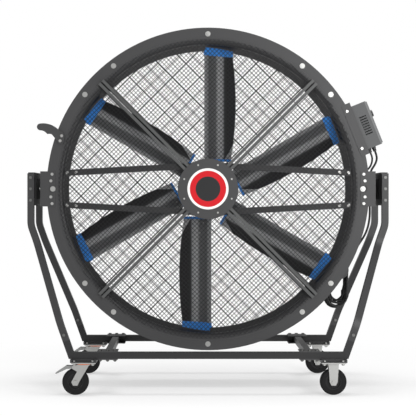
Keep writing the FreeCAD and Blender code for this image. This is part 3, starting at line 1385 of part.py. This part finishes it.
def coil_loop(shift, next_shift):
    """One flat loop as (point, direction, length from the last point): right run, foot, left run, head."""
    foot, foot_radius = coil_foot(shift)
    right, left, run = run_angles(foot, foot_radius)
    next_right = run_angles(*coil_foot(next_shift))[0]
    foot_step = (right - left + 2 * math.pi) / 4
    head_step = (left - next_right) / 4
    stations = [(foot, foot_radius, right, run)]
    stations += [(foot, foot_radius, right - foot_step * step, foot_step * foot_radius) for step in (1, 2, 3, 4)]
    stations.append((COIL_HEAD, HEAD_RADIUS, left, run))
    stations += [(COIL_HEAD, HEAD_RADIUS, left - head_step * step, head_step * HEAD_RADIUS) for step in (1, 2, 3, 4)]
    return [on_bend(centre, radius, angle) + (length,) for centre, radius, angle, length in stations]


def biarc(start, start_along, end, end_along):
    """Two tangent arcs between two points with given directions."""
    gap = end - start
    both = gap.dot(start_along + end_along)
    spread = 2 * (1 - start_along.dot(end_along))
    reach = (math.sqrt(both ** 2 + spread * gap.dot(gap)) - both) / spread
    first = start + start_along * reach
    second = end - end_along * reach
    joint = (first + second) * 0.5
    return [arc_edge(start, first, joint)[0], arc_edge(joint, second, end)[0]]


def coil_points():
    """Points and directions all along the coil, which moves steadily to the rear."""
    stations = []
    for shift, next_shift in zip(COIL_FEET, COIL_FEET[1:] + COIL_FEET[-1:]):
        stations += coil_loop(shift, next_shift)
    rate = size("coil_step") * len(COIL_FEET) / sum(length for _, _, length in stations)
    rearward = VECTOR(0, 1, 0)
    spot, direction = on_bend(COIL_HEAD, HEAD_RADIUS, run_angles(*coil_foot(COIL_FEET[0]))[0])
    points = [(spot + rearward * size("coil_start"), (direction + rearward * rate).normalize())]
    travel = 0.0
    for spot, direction, length in stations:
        travel += length
        points.append((spot + rearward * (size("coil_start") + rate * travel),
                       (direction + rearward * rate).normalize()))
    return points


def print_least_gap(path):
    """Print the least gap between parts of the coil that are not neighbours along it."""
    spots = path.discretize(Distance=SAMPLE_STEP)
    skip = int(NEIGHBOUR_LENGTH / SAMPLE_STEP)
    least = min((p - q).Length for index, p in enumerate(spots) for q in spots[index + skip:])
    print(f"coil least gap {least - size('cord_diameter'):.2f}")


def make_coil(points):
    """The coil as one tube, with its tail; returns the tail's end as well."""
    edges = []
    for (start, start_along), (end, end_along) in zip(points, points[1:]):
        if start_along.getAngle(end_along) < 1e-6:
            edges.append(Part.LineSegment(start, end).toShape())
        else:
            edges += biarc(start, start_along, end, end_along)
    end, along = points[-1]
    down = VECTOR(0, 0, -1)
    tail = end + VECTOR(along.x * size("tail_drop"), size("tail_shift"), -size("tail_drop"))
    edges += biarc(end, along, tail, down)
    stop = tail + down * size("cord_diameter")
    edges.append(Part.LineSegment(tail, stop).toShape())
    path = Part.Wire(edges)
    print_least_gap(path)
    return cord_tube("power_cord_coil", path, points[0][0], points[0][1], size("cord_diameter")), stop


def make_hook():
    """The tube that the coil hangs on, with its front lip and the plate welded to the drum."""
    front = "(coil_start - cord_diameter)"
    back = f"(coil_start + coil_step * {len(COIL_FEET)} + cord_diameter)"
    x = "coil_head_x"
    z = "axis_height - coil_head_drop"
    tube = rod("hook_radius", f"{back} - {front}", x, front, z, "+y")
    lip = rod("hook_radius + hook_lip", "hook_plate", x, f"{front} - hook_plate", z, "+y")
    bore = rod("hook_radius - hook_wall", f"{back} - {front} + hook_plate", x, f"{front} - hook_plate", z, "+y")
    reach = "sqrt(coil_head_x ^ 2 + coil_head_drop ^ 2) - drum_radius + 2 * hook_plate_half"
    plate = block("drum_radius - hook_plate_half", back, "-hook_plate_half", reach, "hook_plate", "2 * hook_plate_half")
    angle = math.degrees(math.atan2(size("coil_head_drop"), size("coil_head_x")))
    plate = put(bundle([plate]), 0, 0, "axis_height", FreeCAD.Rotation(VECTOR(0, 1, 0), angle))
    drum = rod("drum_radius + sheet_wall + weld_gap", "shroud_depth", 0, "-shroud_depth / 2", "axis_height", "+y")
    return joined(cut(joined(tube, lip), bore), cut(plate, drum))


def make_plug(top):
    """A plain plug that hangs under the tail, with its strain relief and pins."""
    foot = f"{top.z} - plug_length * 1.5"
    relief = doc.addObject("Part::Cone", "relief")
    bind(relief, Radius1="plug_radius * 0.75", Radius2="cord_diameter * 0.62", Height="plug_length * 0.5")
    put(relief, top.x, top.y, f"{top.z} - plug_length * 0.5")
    pieces = [relief, rod("plug_radius", "plug_length", top.x, top.y, foot)]
    for side in (LEFT, RIGHT):
        pieces.append(block(f"{top.x} + {side} * pin_spacing / 2 - pin_thickness / 2", f"{top.y} - pin_width / 2",
                            f"{foot} - pin_length", "pin_thickness", "pin_width", "pin_length"))
    pieces.append(rod("pin_width * 0.37", "pin_length * 1.2", top.x, f"{top.y} + plug_radius * 0.55",
                      f"{foot} - pin_length * 1.2"))
    return joined(*pieces)


def make_cords():
    cable = [box_gland_tip(GLAND_PLACES[0])] + from_axis(MOTOR_CABLE_POINTS) + [drum_gland_tip()]
    routed_cord("motor_cable", cable, size("motor_cable_diameter"))
    points = coil_points()
    entry, along = points[0]
    lead = [box_gland_tip(GLAND_PLACES[1])] + from_axis(LEAD_POINTS) + [entry - along * LEAD_LAST_RUN, entry]
    routed_cord("power_cord_lead", lead, size("cord_diameter"))
    coil, stop = make_coil(points)
    node("power_cord_coil", coil)
    node("cord_hook", make_hook())
    node("power_plug", make_plug(stop))


make_cords()


# Check and write

doc.recompute()
for item in doc.Objects:
    if "Invalid" in item.State or "Error" in item.State:
        raise RuntimeError(f"{item.Label} failed: {item.State}")
for name, item in NODES.items():
    if item.Shape.isNull() or not item.Shape.isValid():
        raise RuntimeError(f"{name} has no valid shape")
os.makedirs("parts", exist_ok=True)
for name, item in NODES.items():
    item.Shape.exportStep(f"parts/{name}.step")
print(len(NODES), "nodes written")
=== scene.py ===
import math

import bmesh
import bpy
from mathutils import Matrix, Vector


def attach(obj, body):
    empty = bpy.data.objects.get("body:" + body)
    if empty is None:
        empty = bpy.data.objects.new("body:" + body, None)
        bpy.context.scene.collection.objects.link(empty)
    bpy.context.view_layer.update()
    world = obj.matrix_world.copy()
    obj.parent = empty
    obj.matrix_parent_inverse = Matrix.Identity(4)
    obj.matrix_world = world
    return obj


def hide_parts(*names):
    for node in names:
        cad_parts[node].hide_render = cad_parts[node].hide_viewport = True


# Industrial floor fan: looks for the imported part. Metres, +Z up, front towards -Y.

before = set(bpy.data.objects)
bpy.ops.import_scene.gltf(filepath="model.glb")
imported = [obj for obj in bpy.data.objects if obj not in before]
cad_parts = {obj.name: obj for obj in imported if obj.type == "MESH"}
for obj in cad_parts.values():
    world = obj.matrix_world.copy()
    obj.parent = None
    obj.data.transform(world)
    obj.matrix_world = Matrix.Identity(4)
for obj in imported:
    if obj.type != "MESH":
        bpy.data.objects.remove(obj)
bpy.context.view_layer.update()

MM = 0.001
FRONT = -1
REAR = 1
AXIS_HEIGHT = 1.165
FLANGE_FACE = 0.180
DRUM_SHEET_MIDDLE = 0.8475
EMBLEM_RADIUS = 0.120


# Materials

def paint(code):
    """An sRGB hex colour as linear values."""
    values = [int(code[place:place + 2], 16) / 255 for place in (1, 3, 5)]
    return [v / 12.92 if v <= 0.04045 else ((v + 0.055) / 1.055) ** 2.4 for v in values] + [1.0]


def add(tree, kind, links=(), values=(), **settings):
    """Add a node with settings, socket values and links into its inputs."""
    item = tree.nodes.new(kind)
    for name, value in settings.items():
        setattr(item, name, value)
    for socket, value in values:
        item.inputs[socket].default_value = value
    for socket, source in links:
        tree.links.new(source, item.inputs[socket])
    return item


def surface(name, colour, roughness, metallic=0.0, **sockets):
    """A plain material, with further shader sockets by name."""
    material = bpy.data.materials.new(name)
    material.use_nodes = True
    shader = material.node_tree.nodes["Principled BSDF"]
    shader.inputs["Base Color"].default_value = paint(colour)
    shader.inputs["Roughness"].default_value = roughness
    shader.inputs["Metallic"].default_value = metallic
    for socket, value in sockets.items():
        shader.inputs[socket.replace("_", " ")].default_value = value
    return material


def colour_by(tree, factor, stops, stepped=False):
    """Colour the surface by a factor, with a row of (place, colour) stops."""
    ramp = add(tree, "ShaderNodeValToRGB", [("Fac", factor)])
    ramp.color_ramp.interpolation = "CONSTANT" if stepped else "LINEAR"
    marks = ramp.color_ramp.elements
    while len(marks) < len(stops):
        marks.new(1.0)
    for mark, (place, colour) in zip(marks, stops):
        mark.position = place
        mark.color = colour
    tree.links.new(ramp.outputs["Color"], tree.nodes["Principled BSDF"].inputs["Base Color"])


def textured(material, grain_mm, depth_mm, shade=0.0):
    """Relief with a grain of a real size, and wide patches a shade darker and lighter."""
    grain_detail = 2.0
    relief_strength = 0.6
    patches_per_metre = 4.0
    patch_detail = 3.0
    tree = material.node_tree
    shader = tree.nodes["Principled BSDF"]
    place = add(tree, "ShaderNodeTexCoord").outputs["Object"]
    grain = add(tree, "ShaderNodeTexNoise", [("Vector", place)],
                [("Scale", 1 / (grain_mm * MM)), ("Detail", grain_detail)])
    bump = add(tree, "ShaderNodeBump", [("Height", grain.outputs["Fac"])],
               [("Strength", relief_strength), ("Distance", depth_mm * MM)])
    tree.links.new(bump.outputs["Normal"], shader.inputs["Normal"])
    if shade:
        base = list(shader.inputs["Base Color"].default_value)[:3]
        darker = [v * (1 - shade) for v in base] + [1.0]
        lighter = [v * (1 + shade) for v in base] + [1.0]
        patches = add(tree, "ShaderNodeTexNoise", [("Vector", place)],
                      [("Scale", patches_per_metre), ("Detail", patch_detail)])
        colour_by(tree, patches.outputs["Fac"], [(0.0, darker), (1.0, lighter)])
    return material


def powder_coat(name, colour, roughness, shade=0.0, **sockets):
    """Polyester powder coat: a satin film whose faint orange peel shows only close up."""
    peel_mm = 2.2
    peel_depth_mm = 0.05
    return textured(surface(name, colour, roughness, **sockets), peel_mm, peel_depth_mm, shade)


def axis_reach(tree):
    """Distance of the surface from the fan axis."""
    place = add(tree, "ShaderNodeTexCoord").outputs["Object"]
    centred = add(tree, "ShaderNodeVectorMath", [(0, place)], [(1, (0, 0, AXIS_HEIGHT))],
                  operation="SUBTRACT")
    flat = add(tree, "ShaderNodeVectorMath", [(0, centred.outputs[0])], [(1, (1, 0, 1))],
               operation="MULTIPLY")
    return add(tree, "ShaderNodeVectorMath", [(0, flat.outputs[0])], operation="LENGTH").outputs["Value"]


def make_drum_coat():
    """Powder coat on rolled sheet: satin charcoal outside; inside, painted shade makes it near black and
    dull.
    """
    # Inside the drum: painted shade, near black and without sheen
    shaded_inside_colour = "#0a0a0b"
    outside_colour = "#2c2c2d"
    shaded_inside_shine = 0.05
    outside_shine = 0.5
    material = powder_coat("powder_coat_drum", outside_colour, roughness=0.55)
    tree = material.node_tree
    outside = add(tree, "ShaderNodeMath", [(0, axis_reach(tree))], [(1, DRUM_SHEET_MIDDLE)],
                  operation="GREATER_THAN")
    colour_by(tree, outside.outputs[0], [(0.0, paint(shaded_inside_colour)), (1.0, paint(outside_colour))])
    shine = add(tree, "ShaderNodeMapRange", [("Value", outside.outputs[0])],
                [("To Min", shaded_inside_shine), ("To Max", outside_shine)])
    tree.links.new(shine.outputs["Result"], tree.nodes["Principled BSDF"].inputs["Specular IOR Level"])
    return material


def make_blade_metal():
    """Dark anodised extrusion with draw lines, and broad bands along each blade that are painted highlight
    and painted shade.
    """
    # Real draw lines are too fine to show, so these are 4 mm apart
    draw_line = 4 * MM
    draw_depth = 0.1 * MM
    draw_strength = 0.1
    half_sector = math.pi / 6
    pitch = math.radians(37)
    front_edge = -0.094
    chord_length = 0.235
    # Stops across the chord, front edge first: painted highlights at the front edge and mid-chord, painted
    # shade over the back third
    bands = [(0.0, "#a9aaab"), (0.10, "#979899"), (0.16, "#606162"), (0.38, "#68696a"), (0.46, "#b4b5b6"),
             (0.60, "#a2a3a4"), (0.66, "#2c2c2d"), (0.74, "#131314"), (1.0, "#0e0e0f")]
    material = surface("anodised_extrusion_painted_light", "#3b3c3d", roughness=0.4, metallic=0.25)
    tree = material.node_tree
    place = add(tree, "ShaderNodeTexCoord").outputs["Object"]
    spot = add(tree, "ShaderNodeSeparateXYZ", [("Vector", place)])
    height = add(tree, "ShaderNodeMath", [(0, spot.outputs["Z"])], [(1, AXIS_HEIGHT)],
                 operation="SUBTRACT")
    angle = add(tree, "ShaderNodeMath", [(0, spot.outputs["X"]), (1, height.outputs[0])],
                operation="ARCTAN2")
    own_angle = add(tree, "ShaderNodeMath", [(0, angle.outputs[0])], [(1, half_sector), (2, -half_sector)],
                    operation="WRAP")
    sine = add(tree, "ShaderNodeMath", [(0, own_angle.outputs[0])], operation="SINE")
    across = add(tree, "ShaderNodeMath", [(0, sine.outputs[0]), (1, axis_reach(tree))],
                 operation="MULTIPLY")
    side = add(tree, "ShaderNodeMath", [(0, across.outputs[0])], [(1, math.cos(pitch))],
               operation="MULTIPLY")
    deep = add(tree, "ShaderNodeMath", [(0, spot.outputs["Y"])], [(1, math.sin(pitch))],
               operation="MULTIPLY")
    chord = add(tree, "ShaderNodeMath", [(0, side.outputs[0]), (1, deep.outputs[0])], operation="ADD")
    share = add(tree, "ShaderNodeMapRange", [("Value", chord.outputs[0])],
                [("From Min", front_edge), ("From Max", front_edge + chord_length)])
    colour_by(tree, share.outputs["Result"], [(stop, paint(code)) for stop, code in bands])
    turn = add(tree, "ShaderNodeMath", [(0, chord.outputs[0])], [(1, 2 * math.pi / draw_line)],
               operation="MULTIPLY")
    wave = add(tree, "ShaderNodeMath", [(0, turn.outputs[0])], operation="SINE")
    bump = add(tree, "ShaderNodeBump", [("Height", wave.outputs[0])],
               [("Strength", draw_strength), ("Distance", draw_depth)])
    tree.links.new(bump.outputs["Normal"], tree.nodes["Principled BSDF"].inputs["Normal"])
    return material


def make_emblem_print():
    """Screen-printed vinyl disc: plain concentric bands with a soft gloss."""
    bands = [(0.0, "#2b2b2c"), (0.60, "#cc1722"), (0.88, "#f2f2f0")]
    material = surface("printed_vinyl", "#f2f2f0", roughness=0.5, Specular_IOR_Level=0.2)
    tree = material.node_tree
    place = add(tree, "ShaderNodeTexCoord").outputs["Object"]
    reach = add(tree, "ShaderNodeVectorMath", [(0, place)], operation="LENGTH")
    share = add(tree, "ShaderNodeMath", [(0, reach.outputs["Value"])], [(1, EMBLEM_RADIUS)],
                operation="DIVIDE")
    colour_by(tree, share.outputs[0], [(stop, paint(code)) for stop, code in bands], stepped=True)
    return material


# Charcoal powder coat in tones part by part: the base frames' darker copy is painted shade, the stays'
# paler copy painted highlight
frame_coat = powder_coat("powder_coat_frame", "#2c2c2d", roughness=0.46, shade=0.06)
shroud_coat = powder_coat("powder_coat_shroud", "#343435", roughness=0.46, shade=0.05)
base_coat_painted_shade = powder_coat("powder_coat_base_painted_shade", "#202021", roughness=0.5, shade=0.06, Specular_IOR_Level=0.4)
stay_coat_painted_highlight = powder_coat("powder_coat_stay_painted_highlight", "#484949", roughness=0.44, shade=0.04)
cover_coat = powder_coat("powder_coat_cover", "#343435", roughness=0.48, shade=0.04)
drum_coat = make_drum_coat()
# Coated welded wire: a thin film, darker and duller than the frame's
wire_coat = textured(surface("powder_coat_wire", "#28282a", roughness=0.6, Specular_IOR_Level=0.3),
                     grain_mm=1.5, depth_mm=0.03)
# Friction lining: a near-black, quite dull colour on the pads
lining = textured(surface("friction_lining", "#242425", roughness=0.85),
                  grain_mm=1.2, depth_mm=0.1, shade=0.15)
# Bright zinc plate over turned and pressed steel: pale, cloudy, semi-sharp highlights
zinc = textured(surface("zinc_plate", "#b2b2b0", roughness=0.38, metallic=1.0),
                grain_mm=6.0, depth_mm=0.02, shade=0.1)
# Blackened zinc on the stand's bolts: darker, with a duller highlight
dull_zinc = textured(surface("blackened_zinc", "#6e6e6d", roughness=0.45, metallic=1.0),
                     grain_mm=6.0, depth_mm=0.02, shade=0.1)
# Moulded polyurethane seal: even orange, soft sheen
seal = surface("moulded_seal", "#ee7028", roughness=0.5)
# Pressed steel pedal with a grey coat worn smooth
pedal = textured(surface("coated_pedal", "#8d8e8d", roughness=0.42, metallic=0.5),
                 grain_mm=5.0, depth_mm=0.03, shade=0.06)
# Solid rubber tyre: near black, with a faint bloom of dust
tyre = textured(surface("solid_tyre", "#0f0f10", roughness=0.66, Specular_IOR_Level=0.25),
                grain_mm=1.6, depth_mm=0.08, shade=0.12)
# Moulded wheel core: dark grey with a soft sheen
core = surface("moulded_core", "#1b1b1c", roughness=0.5, Specular_IOR_Level=0.3)
# Cast and coated motor housing: charcoal, a little grainy
motor_coat = textured(surface("motor_coat", "#2f2f30", roughness=0.5),
                      grain_mm=2.5, depth_mm=0.08, shade=0.05)
blade_metal = make_blade_metal()
# Moulded nylon cap: even blue, slightly glossy
cap_blue = surface("moulded_blue_cap", "#3b90e8", roughness=0.42)
# Moulded ABS case and cover with a fine spark-eroded grain, which shows only close up
case_plastic = textured(surface("moulded_case", "#4c4d4e", roughness=0.5), grain_mm=0.9, depth_mm=0.04)
cover_plastic = textured(surface("moulded_cover", "#6d6e6f", roughness=0.48), grain_mm=0.9, depth_mm=0.04)
# Moulded black nylon knob, glands and plug: smooth, slightly glossy
black_plastic = surface("moulded_black", "#1d1d1e", roughness=0.4)
# Rubber cord jacket: dull black
jacket = textured(surface("rubber_jacket", "#171718", roughness=0.6), grain_mm=1.4, depth_mm=0.05)
emblem_print = make_emblem_print()

FINISHES = {
    frame_coat: ["front_left_leg", "front_right_leg", "rear_left_leg", "rear_right_leg",
                 "left_pivot_plate", "right_pivot_plate", "caster_pads"],
    base_coat_painted_shade: ["front_base_frame", "rear_base_frame"],
    drum_coat: ["drum_shell"],
    shroud_coat: ["front_flange", "rear_flange", "guard_rims", "left_pivot_bracket",
                  "right_pivot_bracket", "motor_arms", "control_bracket", "cord_hook", "tilt_handle",
                  "left_cross_brace", "right_cross_brace"],
    cover_coat: ["hub_covers"],
    lining: ["friction_pads"],
    dull_zinc: ["stand_bolts"],
    zinc: ["pivot_bolts", "caster_bolts", "swivel_plates", "fixed_forks", "fixed_axles",
           "front_left_fork", "rear_left_fork", "front_left_axle", "rear_left_axle", "head_bolts",
           "blade_bolts"],
    seal: ["swivel_seals"],
    pedal: ["front_left_brake_pedal", "rear_left_brake_pedal"],
    tyre: ["front_left_tyre", "front_right_tyre", "rear_left_tyre", "rear_right_tyre"],
    core: ["front_left_wheel_core", "front_right_wheel_core", "rear_left_wheel_core",
           "rear_right_wheel_core"],
    motor_coat: ["motor_stator", "rotor_hub"],
    blade_metal: ["fan_blades"],
    cap_blue: ["blade_caps"],
    case_plastic: ["control_box"],
    cover_plastic: ["control_cover"],
    black_plastic: ["speed_knob", "cable_glands", "power_plug"],
    jacket: ["motor_cable"],
}


def finish_nodes():
    for material, names in FINISHES.items():
        for name in names:
            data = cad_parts[name].data
            data.materials.clear()
            data.materials.append(material)


# Pieces

def place_object(name, data):
    item = bpy.data.objects.new(name, data)
    bpy.context.scene.collection.objects.link(item)
    return item


def mesh_object(name, mesh, *materials):
    """Turn a finished mesh into an object in the scene."""
    data = bpy.data.meshes.new(name)
    mesh.to_mesh(data)
    mesh.free()
    for material in materials:
        data.materials.append(material)
    return place_object(name, data)


def polar(radius, angle, offset, y):
    """A point at a radius along an angle, moved sideways by an offset."""
    return Vector((radius * math.cos(angle) - offset * math.sin(angle), y,
                   AXIS_HEIGHT + radius * math.sin(angle) + offset * math.cos(angle)))


def add_bar(mesh, start, end, width, depth, sides=4):
    """A straight bar of a rectangular or round section between two points, its depth along Y."""
    along = (end - start).normalized()
    deep = Vector((0, 1, 0))
    wide = along.cross(deep)
    if sides == 4:
        corners = [(-1, -1), (1, -1), (1, 1), (-1, 1)]
    else:
        angles = [2 * math.pi * step / sides for step in range(sides)]
        corners = [(math.cos(a), math.sin(a)) for a in angles]
    offsets = [(wide * a * width + deep * b * depth) / 2 for a, b in corners]
    rings = [[mesh.verts.new(point + offset) for offset in offsets] for point in (start, end)]
    for step in range(sides):
        following = (step + 1) % sides
        mesh.faces.new([rings[0][step], rings[0][following], rings[1][following], rings[1][step]])
    mesh.faces.new(list(reversed(rings[0])))
    mesh.faces.new(rings[1])


def add_ring(mesh, inner, outer, front, back, steps=96):
    """A flat ring about the fan axis between two Y values."""
    corners = [(inner, front), (outer, front), (outer, back), (inner, back)]
    loops = []
    for step in range(steps):
        angle = 2 * math.pi * step / steps
        loops.append([mesh.verts.new(polar(radius, angle, 0, y)) for radius, y in corners])
    for step in range(steps):
        here = loops[step]
        there = loops[(step + 1) % steps]
        for side in range(4):
            following = (side + 1) % 4
            mesh.faces.new([here[side], here[following], there[following], there[side]])


def add_net(mesh, end, pitch, wire):
    """Two layers of crossed straight wires, cut off round the rim."""
    net_reach = 0.878
    wire_sides = 6
    count = int(net_reach / pitch)
    for angle, layer in ((math.pi / 4, 0.5), (3 * math.pi / 4, 1.5)):
        y = end * (FLANGE_FACE + layer * wire)
        for step in range(-count, count + 1):
            offset = (step + 0.5) * pitch
            if abs(offset) > net_reach:
                continue
            half = math.sqrt(net_reach ** 2 - offset ** 2)
            add_bar(mesh, polar(-half, angle, offset, y), polar(half, angle, offset, y),
                    wire, wire, wire_sides)


def add_stays(mesh, end):
    """Four split stays from the hub ring to the rim, and the hub ring over their roots."""
    bar = 17 * MM
    slit = 9 * MM
    depth = 20 * MM
    seat = 4 * MM
    root = 0.1705
    tip = 0.8845
    ring_inner = 0.128
    ring_outer = 0.170
    ring_depth = 6 * MM
    middle = end * (FLANGE_FACE + seat + depth / 2)
    for quarter in range(4):
        angle = math.pi / 4 + quarter * math.pi / 2
        for side in (-1, 1):
            offset = side * (slit + bar) / 2
            add_bar(mesh, polar(root, angle, offset, middle), polar(tip, angle, offset, middle), bar, depth)
    face = end * (FLANGE_FACE + seat + depth)
    add_ring(mesh, ring_inner, ring_outer, face, face - end * ring_depth)


def make_guard(end, name, pitch, wire):
    """A welded wire net over the rim, held by stays whose paler coat is painted highlight."""
    mesh = bmesh.new()
    add_net(mesh, end, pitch, wire)
    net_faces = len(mesh.faces)
    add_stays(mesh, end)
    mesh.faces.ensure_lookup_table()
    for face in mesh.faces[net_faces:]:
        face.material_index = 1
    bmesh.ops.recalc_face_normals(mesh, faces=mesh.faces)
    guard = mesh_object(name + "_wire", mesh, wire_coat, stay_coat_painted_highlight)
    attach(guard, "fan_head")
    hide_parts(name)


def make_emblem():
    """A plain round printed disc on the front hub cover."""
    middle = -0.2095
    thickness = 1 * MM
    mesh = bmesh.new()
    bmesh.ops.create_cone(mesh, cap_ends=True, segments=96, radius1=EMBLEM_RADIUS,
                          radius2=EMBLEM_RADIUS, depth=thickness)
    disc = mesh_object("hub_emblem", mesh, emblem_print)
    disc.rotation_euler = (math.pi / 2, 0, 0)
    disc.location = (0, middle, AXIS_HEIGHT)
    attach(disc, "fan_head")


# Cord: the lead down from the control box, the hanging coil and its tail, with heights from the fan axis

CORD_DIAMETER = 12.5 * MM
LEAD_POINTS = [
    (0.9905, -0.101, 0.225), (1.001, -0.101, 0.198), (1.001, -0.101, 0.170), (0.988, -0.100, 0.140),
    (0.970, -0.099, 0.115), (0.960, -0.098, 0.083), (0.957, -0.097, 0.040), (0.956, -0.096, -0.005),
    (0.958, -0.096, -0.055), (0.960, -0.097, -0.105), (0.960, -0.099, -0.155), (0.954, -0.102, -0.203),
    (0.941, -0.105, -0.248), (0.920, -0.108, -0.288), (0.896, -0.110, -0.322), (0.8258, -0.119, -0.434),
]
TAIL_POINTS = [
    (0.8245, 0.0026, -0.5032), (0.8232, 0.034, -0.5427), (0.8232, 0.034, -0.568), (0.8232, 0.034, -0.5805),
]
LOOP_HEAD = Vector((0.775, 0, -0.477))
LOOP_FOOT = Vector((0.764, 0, -0.632))
HEAD_RADIUS = 0.050
FOOT_RADIUS = 0.058
HEAD_SIDES = 7
FOOT_SIDES = 8
# Each loop's lower bend in mm: moved sideways, moved down, and grown in radius
COIL_FEET = [
    (0, 0, 0), (8, -12, -4), (-10, 8, 2), (14, -20, -8),
    (-4, 4, 0), (18, -8, -2), (-14, -26, 4), (6, -4, -6),
]
COIL_START = -0.118
LOOP_STEP = 0.015


def round_point(centre, radius, angle):
    return centre + Vector((math.cos(angle), 0, math.sin(angle))) * radius


def bend_points(centre, radius, first, last, count):
    """Corners of a polygon round an arc, each pair of sides touching it."""
    step = (last - first) / count
    corner = radius / math.cos(step / 2)
    return [round_point(centre, corner, first + step * (index + 0.5)) for index in range(count)]


def loop_foot(shift):
    """Centre and radius of one loop's lower bend, and where its right and left runs touch it."""
    across, drop, growth = [value * MM for value in shift]
    foot = LOOP_FOOT + Vector((across, 0, -drop))
    radius = FOOT_RADIUS + growth
    gap = LOOP_HEAD - foot
    line = math.atan2(gap.z, gap.x)
    spread = math.acos((radius - HEAD_RADIUS) / gap.length)
    return foot, radius, line - spread, line + spread


def coil_points():
    """The flat corners of all the loops, with straight runs between their bends."""
    feet = [loop_foot(shift) for shift in COIL_FEET]
    first_right = feet[0][2]
    last_right = feet[-1][2]
    points = [round_point(LOOP_HEAD, HEAD_RADIUS, first_right)]
    for (foot, radius, right, left), after in zip(feet, feet[1:] + feet[-1:]):
        lower = bend_points(foot, radius, right, left - 2 * math.pi, FOOT_SIDES)
        upper = bend_points(LOOP_HEAD, HEAD_RADIUS, left, after[2], HEAD_SIDES)
        for bend in (lower, upper):
            side = (bend[1] - bend[0]).length
            run = (bend[0] - points[-1]).normalized()
            if bend is upper or len(points) > 1:
                points.append(points[-1] + run * side)
            points.append(bend[0] - run * side)
            points += bend
    return points + [round_point(LOOP_HEAD, HEAD_RADIUS, last_right)]


def cord_points():
    """Lead, coil and tail in one row, with the coil's loops side by side along Y."""
    flat = coil_points()
    steps = [(b - a).length for a, b in zip(flat, flat[1:])]
    rate = LOOP_STEP * len(COIL_FEET) / sum(steps)
    points = [Vector(p) for p in LEAD_POINTS]
    travel = 0.0
    for spot, step in zip(flat, steps + [0.0]):
        points.append(spot + Vector((0, COIL_START + rate * travel, 0)))
        travel += step
    return points + [Vector(p) for p in TAIL_POINTS]


def make_cord():
    curve = bpy.data.curves.new("power_cord", "CURVE")
    curve.dimensions = "3D"
    curve.bevel_depth = CORD_DIAMETER / 2
    curve.bevel_resolution = 4
    curve.use_fill_caps = True
    points = cord_points()
    spline = curve.splines.new("NURBS")
    spline.points.add(len(points) - 1)
    for target, spot in zip(spline.points, points):
        target.co = (spot.x, spot.y, spot.z + AXIS_HEIGHT, 1)
    spline.order_u = 3
    spline.use_endpoint_u = True
    spline.resolution_u = 6
    curve.materials.append(jacket)
    cord = place_object("power_cord", curve)
    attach(cord, "fan_head")
    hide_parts("power_cord_lead", "power_cord_coil")


# Stage, light and camera

def make_floor():
    """Pale studio floor: takes soft shadows near the fan and fades to white further out."""
    half_width = 30
    shadow_reach = 0.9
    white_reach = 2.4
    near_glow = 0.5
    mesh = bmesh.new()
    bmesh.ops.create_grid(mesh, x_segments=1, y_segments=1, size=half_width)
    material = surface("studio_floor", "#fafafa", roughness=0.9, Emission_Color=paint("#ffffff"),
                       Specular_IOR_Level=0.0)
    tree = material.node_tree
    place = add(tree, "ShaderNodeTexCoord").outputs["Object"]
    reach = add(tree, "ShaderNodeVectorMath", [(0, place)], operation="LENGTH")
    share = add(tree, "ShaderNodeMapRange", [("Value", reach.outputs["Value"])],
                [("From Min", shadow_reach), ("From Max", white_reach)])
    glow = add(tree, "ShaderNodeMapRange", [("Value", share.outputs["Result"])],
               [("To Min", near_glow), ("To Max", 1.0)])
    tree.links.new(glow.outputs["Result"], tree.nodes["Principled BSDF"].inputs["Emission Strength"])
    colour_by(tree, share.outputs["Result"], [(0.0, paint("#b9b9b9")), (1.0, paint("#000000"))])
    floor = mesh_object("floor", mesh, material)


def make_light(name, place, target, size, power):
    data = bpy.data.lights.new(name, "AREA")
    data.size = size
    data.energy = power
    light = place_object(name, data)
    light.location = place
    light.rotation_euler = (Vector(target) - Vector(place)).to_track_quat("-Z", "Y").to_euler()


def make_world():
    """White for the camera, softer white as light."""
    soft_light = 0.45
    world = bpy.data.worlds.new("studio")
    bpy.context.scene.world = world
    world.use_nodes = True
    tree = world.node_tree
    background = tree.nodes["Background"]
    rays = add(tree, "ShaderNodeLightPath")
    strength = add(tree, "ShaderNodeMapRange", [("Value", rays.outputs["Is Camera Ray"])],
                   [("To Min", soft_light), ("To Max", 1.0)])
    background.inputs["Color"].default_value = (1, 1, 1, 1)
    tree.links.new(strength.outputs["Result"], background.inputs["Strength"])


def make_camera():
    data = bpy.data.cameras.new("camera")
    data.sensor_width = 36
    data.lens = 105.2
    data.shift_x = 0.0433
    data.shift_y = -0.0192
    camera = place_object("camera", data)
    camera.location = (-0.105, -7.3, 1.10)
    camera.rotation_euler = (math.pi / 2, 0, 0)
    bpy.context.scene.camera = camera


finish_nodes()
make_guard(FRONT, "front_guard", pitch=18.1 * MM, wire=3.2 * MM)
make_guard(REAR, "rear_guard", pitch=61 * MM, wire=5 * MM)
make_emblem()
make_cord()
make_floor()
make_light("key", place=(3.0, -6.5, 2.4), target=(0, 0, 1.0), size=2.5, power=220)
make_light("fill", place=(-4.5, -5.0, 2.5), target=(0, 0, 1.0), size=3.0, power=60)
make_light("overhead", place=(0.0, 0.0, 6.5), target=(0, 0, 0), size=3.0, power=230)
make_world()
make_camera()
bpy.context.scene.view_settings.view_transform = "Standard"
